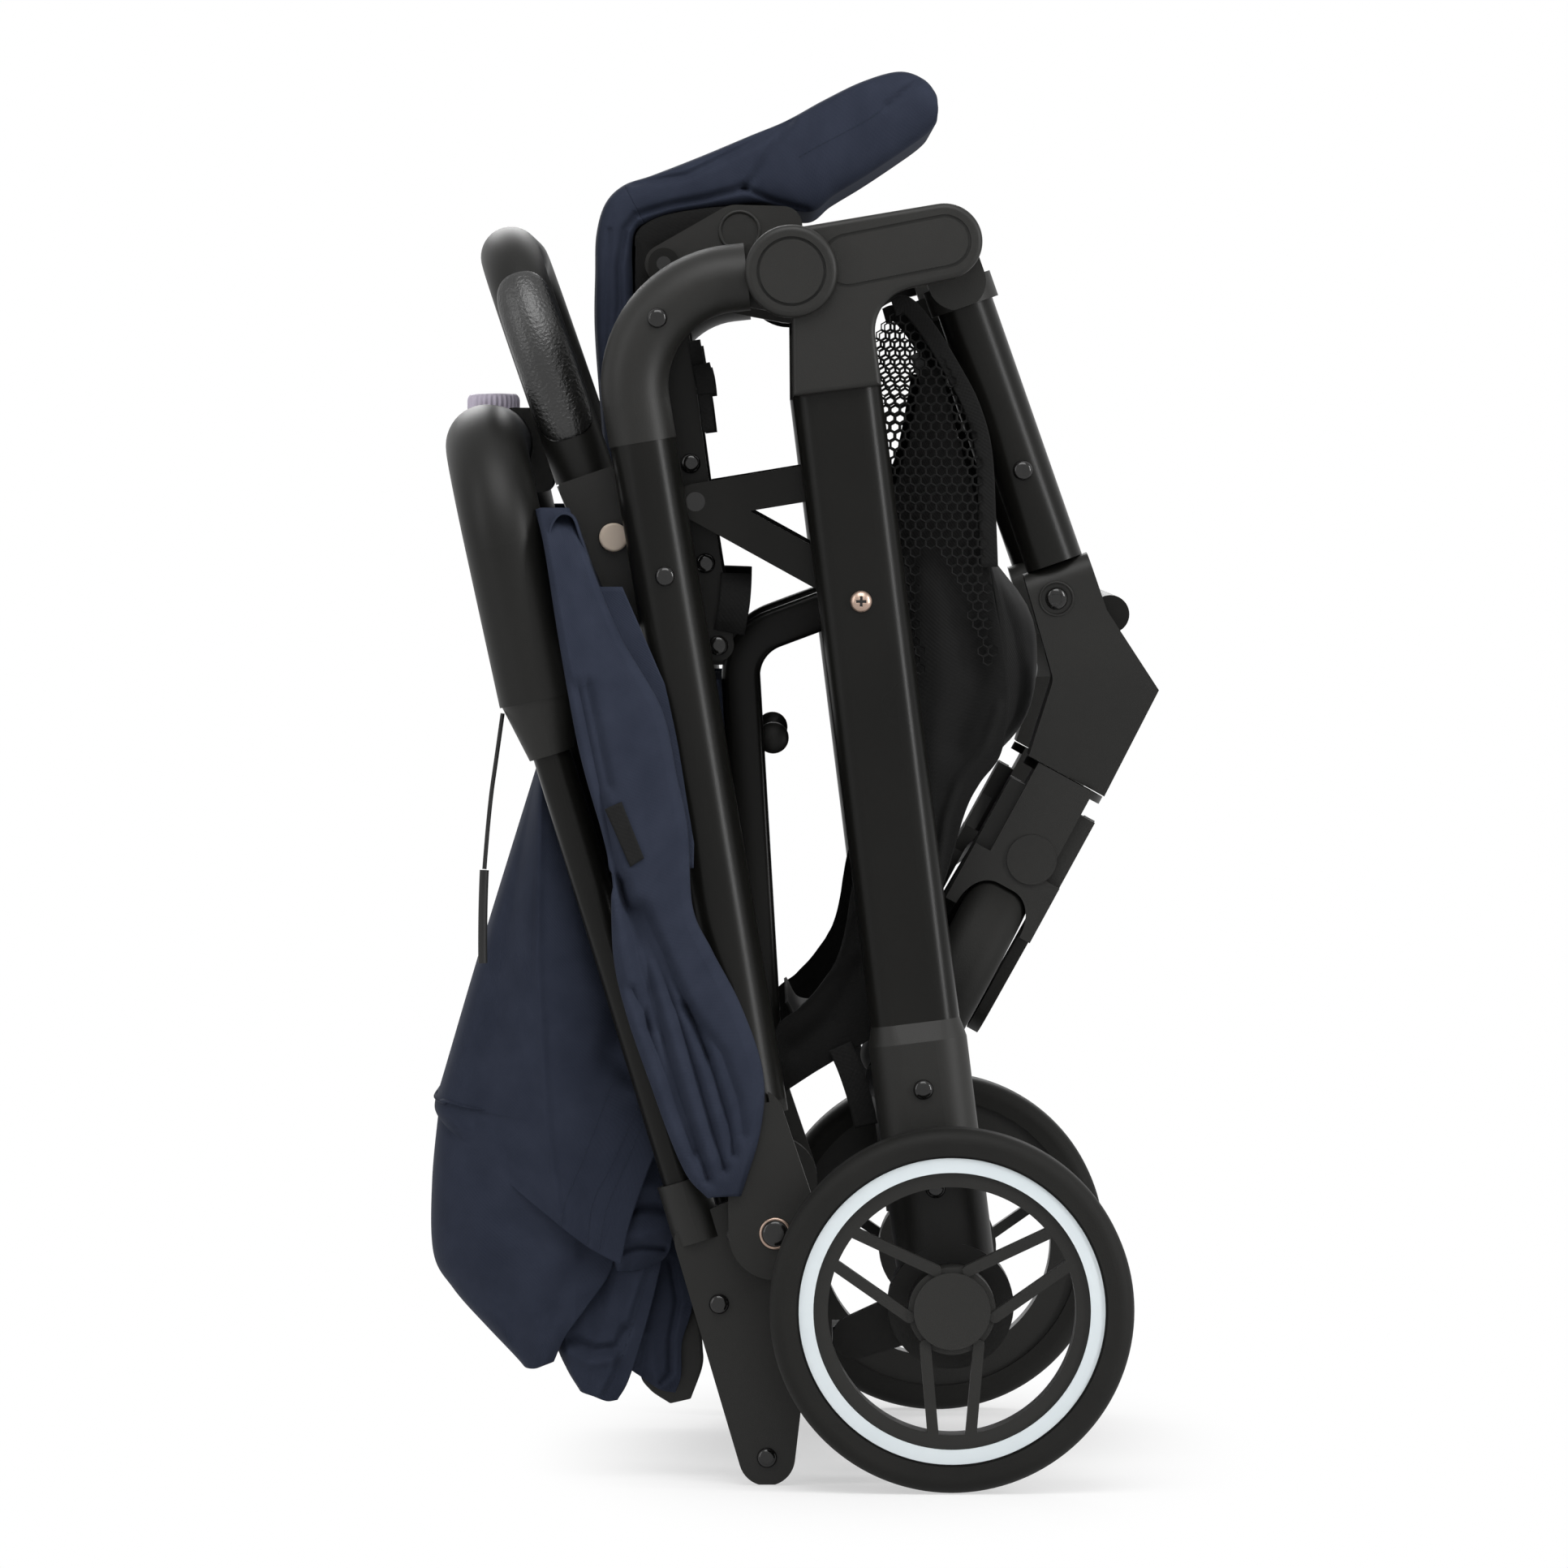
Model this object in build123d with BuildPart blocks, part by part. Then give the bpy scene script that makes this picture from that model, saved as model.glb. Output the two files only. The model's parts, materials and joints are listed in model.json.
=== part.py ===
from build123d import *
import os
from math import radians, tan

# Folding baby stroller, shown folded. Millimetres, +Z up, +X towards the front wheels.
# Points are (x, z) pairs in the side view. The right-hand side is at negative Y.

# Overall depth and the side-view places of the pivots
half_depth = 151.0
fold_pivot = (-2.2, 502.1)
front_pivot = (60.9, 514.5)
handle_pivot = (-8.9, 105.0)
seat_pivot = (-41.9, 407.1)
back_pivot = (-32.5, 347.3)
leg_pivot = (-55.1, 506.0)
bumper_pivot = (-49.0, 322.2)
bow_pivot = (-26.0, 103.5)

# Clearances
pin_play = 0.05
body_gap = 0.6
soft_gap = 0.3

# Pins, rivets and screws
pin_radius = 4.0
small_pin_radius = 3.0
rivet_radius = 4.2
rivet_height = 2.4
rivet_dome = 0.9
pin_lap = 2.0
brass_head_radius = 5.7

# Side layers, measured outwards from the middle plane: all follow the rear leg's
leg_middle = 188.0
hub_inner = leg_middle - 12.0
hub_outer = leg_middle + 15.0
eye_split = leg_middle + 1.0

# Rear legs, hubs and wheel holders
leg_top = (16.6, 452.8)
leg_bottom = (49.1, 191.8)
leg_width = 37.0
leg_depth = 20.0
tube_wall = 1.5
hub_eye_radius = 17.5
hub_plate_radius = 15.7
hub_clear_radius = 23.0
hub_fillet = 18.0
hub_edge = 2.2
groove_inset = 4.6
groove_width = 1.3
groove_depth = 0.8
knob_radius = 19.2
knob_height = 6.0
knob_disc_radius = 13.2
knob_groove_width = 1.2
knob_groove = 1.4
knob_edge = 2.6
stem_rise = 45.0
notch_rise = 38.0
holder_width = 41.0
holder_depth = 27.0
holder_shoulder = 8.0
holder_boss_radius = 26.0
holder_neck_radius = 15.0
holder_lap = 8.0

# Rear wheels
wheel_radius = 75.0
wheel_x = 63.7
wheel_inner = hub_outer + 5.0
wheel_width = 28.0
tyre_height = 11.0
tyre_round = 6.0
rim_band = 13.0
rim_width = 22.0
ring_inset = 1.0
ring_outer = wheel_radius - tyre_height - ring_inset
ring_band = 6.0
ring_height = 1.6
wheel_hub_radius = 18.0
hub_cap_radius = 15.8
hub_cap_height = 4.0
hub_cap_sink = 1.0
spoke_width = 4.6
spoke_depth = 9.0
spoke_spread_hub = 11.0
spoke_spread_rim = 7.6
spoke_pairs = 3
spoke_root = 14.0
spoke_lap = 2.0
axle_radius = 4.0
axle_reach = wheel_inner + 21.0

# Upper frame
elbow_radius = 14.0
elbow_start = 18.4
elbow_seam = (-63.6, 431.7)
elbow_rise = 63.5
elbow_bend = 44.0
elbow_arm_radius = 11.0
elbow_lap = 4.0
upper_radius = 13.7
tube_end_above_pivot = 54.0
fitting_cap = 5.0
hinge_disc_radius = 19.3
fitting_half_width = 11.5
fitting_plug = 24.0

# Handle
handle_middle = leg_middle - 6.0
bracket_inner = handle_middle - 7.0
foot_centre = (-12.3, 11.2)
foot_radius = 11.7
socket_foot = (-40.1, 100.9)
socket_radius = 10.5
socket_length = 26.0
handle_radius = 8.0
collar_foot = (-101.3, 302.4)
collar_radius = 9.6
collar_top_radius = 16.0
grip_foot = (-106.3, 325.2)
grip_top = (-129.2, 430.5)
grip_radius = 17.0
grip_bend = 42.0
release_half_width = 34.0
release_depth = 22.0
release_drop = 36.0
release_shift = (4.0, -2.0)
release_edge = 5.0
release_play = 0.2
button_radius = 11.0
button_height = 12.0
button_rise = 5.0
button_travel = 3.0
button_play = 0.3
button_edge = 2.5

# Bumper bar
bumper_top = (-119.6, 509.6)
bumper_foot = (-88.0, 418.0)
bumper_middle = leg_middle - 33.5
bumper_radius = 12.6
bumper_bend = 46.0
pad_wall = 1.2
pad_gap = 0.1
pad_length = 58.0
pad_start = 8.0
bumper_plate_inner = bumper_middle + 11.0
bumper_plate_outer = bumper_plate_inner + 5.9
bumper_eye_radius = 8.0
bumper_plate_radius = 12.2
cream_button = (-75.9, 392.3)
cream_radius = 6.0
cream_rise = 4.0
cream_travel = 2.5
cream_edge = 1.2
bumper_socket = 16.0
plate_start_down = 4.0

# Canopy
bow_middle = leg_middle - 27.0
bow_radius = 4.6
bow_top = (-96.5, 394.0)
bow_bend = 30.0
bow_eye_radius = 8.0
bow_eye_half = bow_radius + 0.4
bow_lap = 1.0
hood_half_width = leg_middle - 14.3
cloth = 3.0
hood_round = 14.0
hem_wall = 1.5
visor_inner = leg_middle + 14.0

# Front frame
front_middle = leg_middle - 30.0
front_radius = 12.0
front_collar_radius = 14.6
front_collar_start = 17.0
front_collar_length = 11.0
front_eye_inner = front_middle - 8.0
front_eye_outer = front_middle + 16.6
front_leg_length = 141.0
front_lean = (0.33, -0.944)
steer_origin = (112.8, 292.5)
steer_slope = (-0.48, -0.877)
steer_middle = front_middle - 32.0
elbow_upper_inner = front_middle - 15.0
elbow_upper_outer = front_middle + 13.0
elbow_lower_half = 19.0
elbow_edge = 8.0
elbow_mouth_half = 14.0
elbow_foot_half = 18.0
elbow_inner_round = 8.0
elbow_inner_slant = (34.0, 52.0)
elbow_tip = (half_depth, 328.5)
elbow_inner = (107.0, 333.0)
elbow_back = (129.0, 362.0)
elbow_screw = (108.0, 366.7)
crossbar_centre = (131.0, 360.0)
crossbar_radius = 8.0

# Front forks and wheels
fork_radius = 18.0
fork_flange = 3.4
fork_front = 20.0
fork_crown = 42.0
fork_web = 6.0
fork_skirt = 68.0
fork_arm_width = 26.0
fork_arm_wall = 5.0
fork_gap = 2.0
fork_fin_drop = 24.0
fork_disc = (4.0, -37.0)
fork_disc_radius = 10.4
fork_disc_height = 1.2
front_tyre_round = 9.5
front_wheel_radius = 58.0
front_wheel_width = 26.0
front_tyre_height = 11.0
front_axle_drop = 100.0
front_trail = 17.0
front_axle_radius = 3.5
front_hub_radius = 11.0
front_web = 8.0

# Seat, legrest and backrest
bracket_bar_inner = leg_middle - 16.0
bracket_bar_outer = bracket_bar_inner + 5.7
rail_outer = bracket_bar_inner - 12.0
rail_inner = rail_outer - 10.0
leg_plate_outer = rail_inner - 0.8
leg_plate_inner = leg_plate_outer - 10.2
seat_half_width = leg_plate_inner - 1.0
seat_round = 6.0
rail_half_width = 6.5
bar_half_width = 7.5
bracket_bar_ends = [(12.0, 416.0), (18.0, 374.0)]
cross_tube_radius = 5.0
back_tube_radius = 6.0
back_pad_half_width = seat_half_width - 10.0
back_tube_middle = back_pad_half_width - 20.0
back_eye_radius = 9.0
back_bend = 20.0
back_tube_route = [(24.0, 366.0), (-24.0, 348.0), (-13.9, 176.0)]
back_lug_end = (-19.0, 345.5)
back_lug_half = 5.0
back_pad_head = (-24.4, 332.0)
back_pad_foot = (-13.9, 170.0)
back_pad_thickness = 9.0
back_pad_round = 3.6
leg_plate_spots = [(leg_pivot, 8.0), ((-25.0, 518.6), 12.0), ((-5.5, 522.0), 8.0)]

# Basket
net_inner = leg_middle - 13.9
net_wall = 1.6
net_pitch = 9.0
net_hole = 3.2
net_hem = 3.0
net_centre = (60.0, 410.0)
net_columns = 5
net_rows = 14
net_border = [
    (34.0, 478.0), (46.0, 484.0), (56.0, 470.0), (76.0, 400.0), (86.0, 336.0), (60.0, 330.0), (38.0, 400.0),
]
basket_half_width = leg_middle - 63.0
basket_bend = 5.0
basket_upper = [(50.0, 470.0), (76.0, 400.0), (86.0, 348.0)]
basket_lower = [
    (86.0, 348.0), (82.0, 316.0), (58.0, 262.0), (36.0, 216.0), (14.0, 189.0), (0.0, 188.0), (-4.5, 199.0),
]
basket_side_gap = 1.8
basket_side = [
    (52.0, 462.0), (60.0, 462.0), (68.0, 430.0), (77.0, 398.0), (82.0, 368.0), (86.0, 346.0), (86.0, 326.0),
    (80.0, 303.0), (69.0, 290.0), (64.0, 278.0), (60.0, 251.0), (50.0, 217.0), (35.0, 188.5), (18.0, 176.5),
    (6.7, 169.5), (-5.5, 161.5), (-10.5, 176.5), (-7.8, 189.5), (1.3, 197.0), (10.0, 206.5), (18.5, 222.0),
    (23.0, 247.0), (28.0, 268.0), (33.0, 312.0), (35.0, 359.0), (37.0, 400.0), (46.0, 430.0),
]

# Brake pedal
pedal_thickness = 8.0
pedal_hub_radius = 12.0
pedal_end = (wheel_x - 39.7, wheel_radius - 15.0)
pedal_end_radius = 9.0
pedal_tread = (18.0, 44.0, 8.0)

# Release cable and its sleeve, chosen points (x, z)
cable_route = [(-121.7, 319.5), (-124.0, 303.0), (-127.4, 280.0), (-129.3, 255.0)]
sleeve_route = [(-129.35, 254.6), (-130.2, 236.0), (-130.0, 216.0)]
cable_middle = 183.0
cable_radius = 0.9
cord_bend_share = 0.45
sleeve_radius = 1.9


def at(point, layer):
    return Vector(point[0], -layer, point[1])


def toward(start, end, distance):
    step = Vector(end[0] - start[0], end[1] - start[1]).normalized() * distance
    return (start[0] + step.X, start[1] + step.Y)


def span(start, end):
    return Vector(end[0] - start[0], end[1] - start[1]).length


def layer_plane(layer):
    return Plane.XZ.offset(layer)


def line_plane(start, end, layer):
    run = at(end, layer) - at(start, layer)
    return Plane(origin=at(start, layer), x_dir=(0, -1, 0), z_dir=run)


def other_side(piece):
    with BuildPart() as twin:
        mirror(piece, about=Plane.XZ)
    return twin.part


def both_sides(piece):
    with BuildPart() as pair:
        add(piece)
        mirror(piece, about=Plane.XZ)
    return pair.part


def straight_tube(start, end, layer, radius, wall):
    with BuildPart() as tube:
        with BuildSketch(line_plane(start, end, layer)):
            Circle(radius)
            Circle(radius - wall, mode=Mode.SUBTRACT)
        extrude(amount=span(start, end))
    return tube.part


def rivets(places, layer, radius=rivet_radius, height=rivet_height):
    with BuildPart() as heads:
        with BuildSketch(layer_plane(layer)):
            with Locations([place for place in places]):
                Circle(radius)
        extrude(amount=height)
        fillet(heads.faces().filter_by(Plane.XZ).group_by(Axis.Y)[0].edges(), height * rivet_dome)
    return both_sides(heads.part)


def pins(places, inner, outer, radius):
    with BuildPart() as shafts:
        with BuildSketch(layer_plane(inner)):
            with Locations([place for place in places]):
                Circle(radius)
        extrude(amount=outer - inner)
    return both_sides(shafts.part)


# Rear legs: flat-oval tubes that lean back from the wheel holders to the hubs
def make_rear_leg():
    with BuildPart() as leg:
        with BuildSketch(line_plane(leg_top, leg_bottom, leg_middle)):
            SlotOverall(leg_width, leg_depth, rotation=90)
            SlotOverall(leg_width - 2 * tube_wall, leg_depth - 2 * tube_wall, 90, mode=Mode.SUBTRACT)
        extrude(amount=span(leg_top, leg_bottom))
    return leg.part


# Hub housing: a T-shaped moulding with the grooved plate between both pivots
def make_hub_housing():
    lean = Vector(leg_bottom[0] - leg_top[0], leg_bottom[1] - leg_top[1]).normalized()
    side = Vector(-lean.Y, lean.X) * (leg_width / 2)
    stem_left = (leg_top[0] - side.X, leg_top[1] - side.Y)
    stem_right = (leg_top[0] + side.X, leg_top[1] + side.Y)
    stem_head = (stem_right[0] - lean.X * stem_rise, stem_right[1] - lean.Y * stem_rise)
    notch = (stem_right[0] - lean.X * notch_rise, stem_right[1] - lean.Y * notch_rise)
    with BuildPart() as housing:
        with BuildSketch(layer_plane(hub_inner)) as shape:
            for centre, radius in ((fold_pivot, hub_eye_radius), (front_pivot, hub_plate_radius)):
                with Locations(centre):
                    Circle(radius)
            make_hull()
            Polygon(stem_left, stem_right, stem_head, fold_pivot, align=None)
            fillet(shape.vertices().sort_by_distance((*notch, 0))[0], hub_fillet)
        extrude(amount=hub_outer - hub_inner)
        fillet(housing.faces().sort_by(Axis.Y)[0].edges(), hub_edge)
        with BuildSketch(layer_plane(hub_inner)):
            with Locations(fold_pivot):
                Circle(hub_clear_radius)
        extrude(amount=eye_split + body_gap - hub_inner, mode=Mode.SUBTRACT)
        with BuildSketch(layer_plane(hub_inner)):
            with Locations(fold_pivot, front_pivot):
                Circle(pin_radius)
        extrude(amount=hub_outer - hub_inner - hub_edge, mode=Mode.SUBTRACT)
        groove_start = toward(fold_pivot, front_pivot, knob_radius + groove_inset)
        with BuildSketch(layer_plane(hub_outer)):
            for centre in (groove_start, front_pivot):
                with Locations(centre):
                    Circle(hub_plate_radius - groove_inset)
            make_hull()
            with BuildSketch(mode=Mode.PRIVATE) as inner_oval:
                for centre in (groove_start, front_pivot):
                    with Locations(centre):
                        Circle(hub_plate_radius - groove_inset - groove_width)
                make_hull()
            add(inner_oval.sketch, mode=Mode.SUBTRACT)
        extrude(amount=-groove_depth, mode=Mode.SUBTRACT)
    return housing.part


# Knob cover over the fold pivot: a rounded ring and, inside a groove, a plain disc
def make_knob():
    with BuildPart() as knob:
        with BuildSketch(layer_plane(hub_outer)):
            with Locations(fold_pivot):
                Circle(knob_radius)
        extrude(amount=knob_height)
        fillet(knob.faces().sort_by(Axis.Y)[0].edges(), knob_edge)
        with BuildSketch(layer_plane(hub_outer + knob_height)):
            with Locations(fold_pivot):
                Circle(knob_disc_radius + knob_groove_width)
                Circle(knob_disc_radius, mode=Mode.SUBTRACT)
        extrude(amount=-knob_groove, mode=Mode.SUBTRACT)
    return knob.part


# Wheel holder: shouldered moulding on the leg's end, with a round boss at the wheel
def make_wheel_holder():
    wheel_point = (wheel_x, wheel_radius)
    boss_top = toward(wheel_point, leg_bottom, holder_boss_radius)
    with BuildPart() as holder:
        slot_plane = line_plane(leg_bottom, wheel_point, leg_middle)
        with BuildSketch(slot_plane):
            SlotOverall(leg_width, leg_depth, rotation=90)
        with BuildSketch(slot_plane.offset(holder_shoulder)):
            SlotOverall(holder_width, holder_depth, rotation=90)
        loft()
        with BuildSketch(slot_plane.offset(holder_shoulder)):
            SlotOverall(holder_width, holder_depth, rotation=90)
        extrude(amount=span(leg_bottom, boss_top) - holder_shoulder + holder_lap)
        with BuildSketch(layer_plane(leg_middle - holder_depth / 2)):
            with Locations(wheel_point):
                Circle(holder_boss_radius)
        extrude(amount=holder_depth)
        with BuildSketch(layer_plane(leg_middle + holder_depth / 2)):
            with Locations(wheel_point):
                Circle(holder_neck_radius)
        extrude(amount=wheel_inner - leg_middle - holder_depth / 2 - body_gap)
        with BuildSketch(layer_plane(leg_middle - holder_depth)):
            with Locations(wheel_point):
                Circle(axle_radius)
        extrude(amount=2 * holder_depth, mode=Mode.SUBTRACT)
    return holder.part


def make_rear_axle():
    with BuildPart() as axle:
        with BuildSketch(layer_plane(-axle_reach)):
            with Locations((wheel_x, wheel_radius)):
                Circle(axle_radius)
        extrude(amount=2 * axle_reach)
    return axle.part


# Seat bracket: two flat bars from the rear leg that meet at the seat pivot
def make_seat_bracket():
    with BuildPart() as bracket:
        for end in bracket_bar_ends:
            with BuildSketch(layer_plane(bracket_bar_inner)):
                for centre in (seat_pivot, end):
                    with Locations(centre):
                        Circle(bar_half_width)
                make_hull()
            extrude(amount=bracket_bar_outer - bracket_bar_inner)
        with BuildSketch(layer_plane(bracket_bar_inner)):
            with Locations(seat_pivot):
                Circle(pin_radius)
        extrude(amount=bracket_bar_outer - bracket_bar_inner, mode=Mode.SUBTRACT)
    return bracket.part


# Rear wheel: tyre, spoked rim with a hub cap, pale ring on the rim's outer face
tyre_bore = wheel_radius - tyre_height
wheel_middle = wheel_inner + wheel_width / 2
rim_inner_face = wheel_middle - rim_width / 2
rim_outer_face = wheel_middle + rim_width / 2


def make_rear_tyre():
    with BuildPart() as tyre:
        with BuildSketch(layer_plane(wheel_inner)):
            with Locations((wheel_x, wheel_radius)):
                Circle(wheel_radius)
                Circle(tyre_bore, mode=Mode.SUBTRACT)
        extrude(amount=wheel_width)
        outer_edges = tyre.edges().filter_by(GeomType.CIRCLE).group_by(SortBy.RADIUS)[-1]
        fillet(outer_edges, tyre_round)
    return tyre.part


def make_rear_rim():
    rim_hole = tyre_bore - rim_band
    with BuildPart() as rim:
        with BuildSketch(layer_plane(rim_inner_face)):
            with Locations((wheel_x, wheel_radius)):
                Circle(tyre_bore)
                Circle(rim_hole, mode=Mode.SUBTRACT)
        extrude(amount=rim_width)
        with BuildSketch(layer_plane(rim_outer_face - spoke_depth)):
            with Locations((wheel_x, wheel_radius)):
                with PolarLocations(0, spoke_pairs, start_angle=-90):
                    for turn in (-1, 1):
                        hub_point = (spoke_root, turn * spoke_spread_hub)
                        rim_point = (rim_hole + spoke_lap, turn * spoke_spread_rim)
                        with BuildSketch(mode=Mode.PRIVATE) as spoke:
                            for place in (hub_point, rim_point):
                                with Locations(place):
                                    Circle(spoke_width / 2)
                            make_hull()
                        add(spoke.sketch)
        extrude(amount=spoke_depth)
        with BuildSketch(layer_plane(wheel_inner)):
            with Locations((wheel_x, wheel_radius)):
                Circle(wheel_hub_radius)
        extrude(amount=rim_outer_face - wheel_inner - hub_cap_sink)
        with BuildSketch(layer_plane(rim_outer_face - hub_cap_height / 2)):
            with Locations((wheel_x, wheel_radius)):
                Circle(hub_cap_radius)
        extrude(amount=hub_cap_height)
        with BuildSketch(layer_plane(wheel_inner)):
            with Locations((wheel_x, wheel_radius)):
                Circle(axle_radius + pin_play)
        extrude(amount=axle_reach + body_gap - wheel_inner, mode=Mode.SUBTRACT)
    return rim.part


def make_ring():
    with BuildPart() as ring:
        with BuildSketch(layer_plane(rim_outer_face)):
            with Locations((wheel_x, wheel_radius)):
                Circle(ring_outer)
                Circle(ring_outer - ring_band, mode=Mode.SUBTRACT)
        extrude(amount=ring_height)
    return ring.part


# Upper frame: moulded elbow with its eye on the fold pivot, round tube, hinge fitting
elbow_corner = toward(elbow_seam, handle_pivot, -elbow_rise)


def elbow_route():
    arm_start = toward(fold_pivot, elbow_corner, elbow_start)
    with BuildLine() as route:
        points = [at(place, leg_middle) for place in (arm_start, elbow_corner, elbow_seam)]
        FilletPolyline(*points, radius=elbow_bend)
    return route.wire()


def make_upper_elbow():
    route = elbow_route()
    with BuildPart() as elbow:
        with BuildSketch(Plane(origin=route @ 0, z_dir=route % 0)):
            Circle(elbow_radius)
        sweep(path=route)
        arm_end = toward(fold_pivot, elbow_corner, elbow_start + elbow_lap)
        with BuildSketch(layer_plane(hub_inner)):
            for centre, radius in ((fold_pivot, hub_eye_radius), (arm_end, elbow_arm_radius)):
                with Locations(centre):
                    Circle(radius)
            make_hull()
        extrude(amount=eye_split - hub_inner)
        with BuildSketch(layer_plane(hub_inner)):
            with Locations(fold_pivot):
                Circle(pin_radius + pin_play)
        extrude(amount=eye_split - hub_inner, mode=Mode.SUBTRACT)
    return elbow.part


upper_end = toward(handle_pivot, elbow_seam, tube_end_above_pivot)


# The upper tube is drilled on its inner side for the bumper's pivot pin
def make_upper_tube():
    with BuildPart() as tube:
        add(straight_tube(elbow_seam, upper_end, leg_middle, upper_radius, tube_wall))
        with BuildSketch(layer_plane(leg_middle - 2 * upper_radius)):
            with Locations(bumper_pivot):
                Circle(small_pin_radius)
        extrude(amount=2 * upper_radius, mode=Mode.SUBTRACT)
    return tube.part


def make_hinge_fitting():
    cap_end = toward(handle_pivot, elbow_seam, tube_end_above_pivot - fitting_cap)
    plug_end = toward(upper_end, elbow_seam, fitting_plug)
    with BuildPart() as fitting:
        with BuildSketch(layer_plane(eye_split + body_gap)):
            for centre, radius in ((handle_pivot, hinge_disc_radius), (cap_end, fitting_half_width)):
                with Locations(centre):
                    Circle(radius)
            make_hull()
        extrude(amount=leg_middle + upper_radius - eye_split - body_gap)
        with BuildSketch(line_plane(cap_end, upper_end, leg_middle)):
            Circle(upper_radius)
        extrude(amount=fitting_cap)
        with BuildSketch(line_plane(upper_end, plug_end, leg_middle)):
            Circle(upper_radius - tube_wall)
        extrude(amount=fitting_plug)
        with BuildSketch(line_plane(upper_end, elbow_seam, leg_middle)):
            Circle(upper_radius + tube_wall)
            Circle(upper_radius - tube_wall, mode=Mode.SUBTRACT)
        extrude(amount=fitting_plug, mode=Mode.SUBTRACT)
        with BuildSketch(layer_plane(eye_split)):
            with Locations(handle_pivot):
                Circle(pin_radius)
        extrude(amount=hub_outer - eye_split, mode=Mode.SUBTRACT)
    return fitting.part


# Handle: bracket with its foot, thin tube, cone collar, grip bar, release housing
bracket_outer = eye_split


def make_handle_bracket():
    with BuildPart() as bracket:
        with BuildSketch(layer_plane(bracket_inner)):
            disc = (handle_pivot, hinge_disc_radius)
            for centre, radius in (disc, (socket_foot, socket_radius), (foot_centre, foot_radius)):
                with Locations(centre):
                    Circle(radius)
            make_hull()
        extrude(amount=bracket_outer - bracket_inner)
        with BuildSketch(line_plane(socket_foot, collar_foot, handle_middle)):
            Circle(socket_radius)
        extrude(amount=socket_length)
        with BuildSketch(line_plane(socket_foot, collar_foot, handle_middle)):
            Circle(handle_radius)
        extrude(amount=socket_length, mode=Mode.SUBTRACT)
        with BuildSketch(layer_plane(bracket_inner)):
            with Locations(handle_pivot):
                Circle(pin_radius + pin_play)
            with Locations(bow_pivot):
                Circle(small_pin_radius)
        extrude(amount=bracket_outer - bracket_inner, mode=Mode.SUBTRACT)
        with Locations((foot_centre[0], -handle_middle, -foot_radius)):
            Box(4 * foot_radius, 4 * foot_radius, 2 * foot_radius, mode=Mode.SUBTRACT)
    return bracket.part


def make_collar():
    with BuildPart() as collar:
        with BuildSketch(line_plane(grip_foot, grip_top, handle_middle)):
            Circle(collar_top_radius)
        with BuildSketch(line_plane(collar_foot, socket_foot, handle_middle)):
            Circle(collar_radius)
        loft()
    return collar.part


def make_grip():
    with BuildPart() as grip:
        with BuildLine() as route:
            right = [at(place, handle_middle) for place in (grip_foot, grip_top)]
            left = [at(place, -handle_middle) for place in (grip_top, grip_foot)]
            FilletPolyline(*right, *left, radius=grip_bend)
        with BuildSketch(Plane(origin=route.wire() @ 0, z_dir=route.wire() % 0)):
            Circle(grip_radius)
        sweep(path=route.wire())
        pocket_floor = grip_top[1] + grip_radius + button_rise - button_height - button_travel - button_play
        with BuildSketch(Plane.XY.offset(pocket_floor)):
            with Locations((grip_top[0], 0)):
                Circle(button_radius + button_play)
        extrude(amount=grip_radius * 2, mode=Mode.SUBTRACT)
    return grip.part


def make_release_housing():
    with BuildPart() as housing:
        middle_x = grip_top[0] + release_depth / 2 + release_shift[0]
        with Locations((middle_x, 0, grip_top[1] + release_shift[1])):
            Box(release_depth, 2 * release_half_width, release_drop)
        fillet(housing.edges().filter_by(Axis.Y), release_edge)
        with BuildSketch(layer_plane(-2 * release_half_width)):
            with Locations(grip_top):
                Circle(grip_radius + release_play)
        extrude(amount=4 * release_half_width, mode=Mode.SUBTRACT)
        with BuildSketch(Plane.XY.offset(grip_top[1] - grip_radius)):
            with Locations((grip_top[0], 0)):
                Circle(button_radius + button_play)
        extrude(amount=4 * grip_radius, mode=Mode.SUBTRACT)
    return housing.part


def make_release_button():
    top = grip_top[1] + grip_radius + button_rise
    with BuildPart() as button:
        with BuildSketch(Plane.XY.offset(top - button_height)):
            with Locations((grip_top[0], 0)):
                Circle(button_radius)
        extrude(amount=button_height)
        fillet(button.faces().sort_by(Axis.Z)[-1].edges(), button_edge)
    return button.part


def bend_radii(points):
    radii = []
    for before, here, after in zip(points, points[1:], points[2:]):
        turn = radians((here - before).get_angle(after - here))
        shorter = min((here - before).length, (after - here).length)
        radii.append(cord_bend_share * shorter / tan(turn / 2))
    return radii


def make_cord(name, route_points, radius):
    points = [at(place, cable_middle) for place in route_points]
    radii = bend_radii(points)
    with BuildPart() as cord:
        with BuildLine() as route:
            FilletPolyline(*points, radius=radii)
        with BuildSketch(Plane(origin=route.wire() @ 0, z_dir=route.wire() % 0)):
            Circle(radius)
        sweep(path=route.wire())
    print(name, "length", round(route.wire().length, 1), "bend radii", [round(r, 1) for r in radii])
    return cord.part


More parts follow.
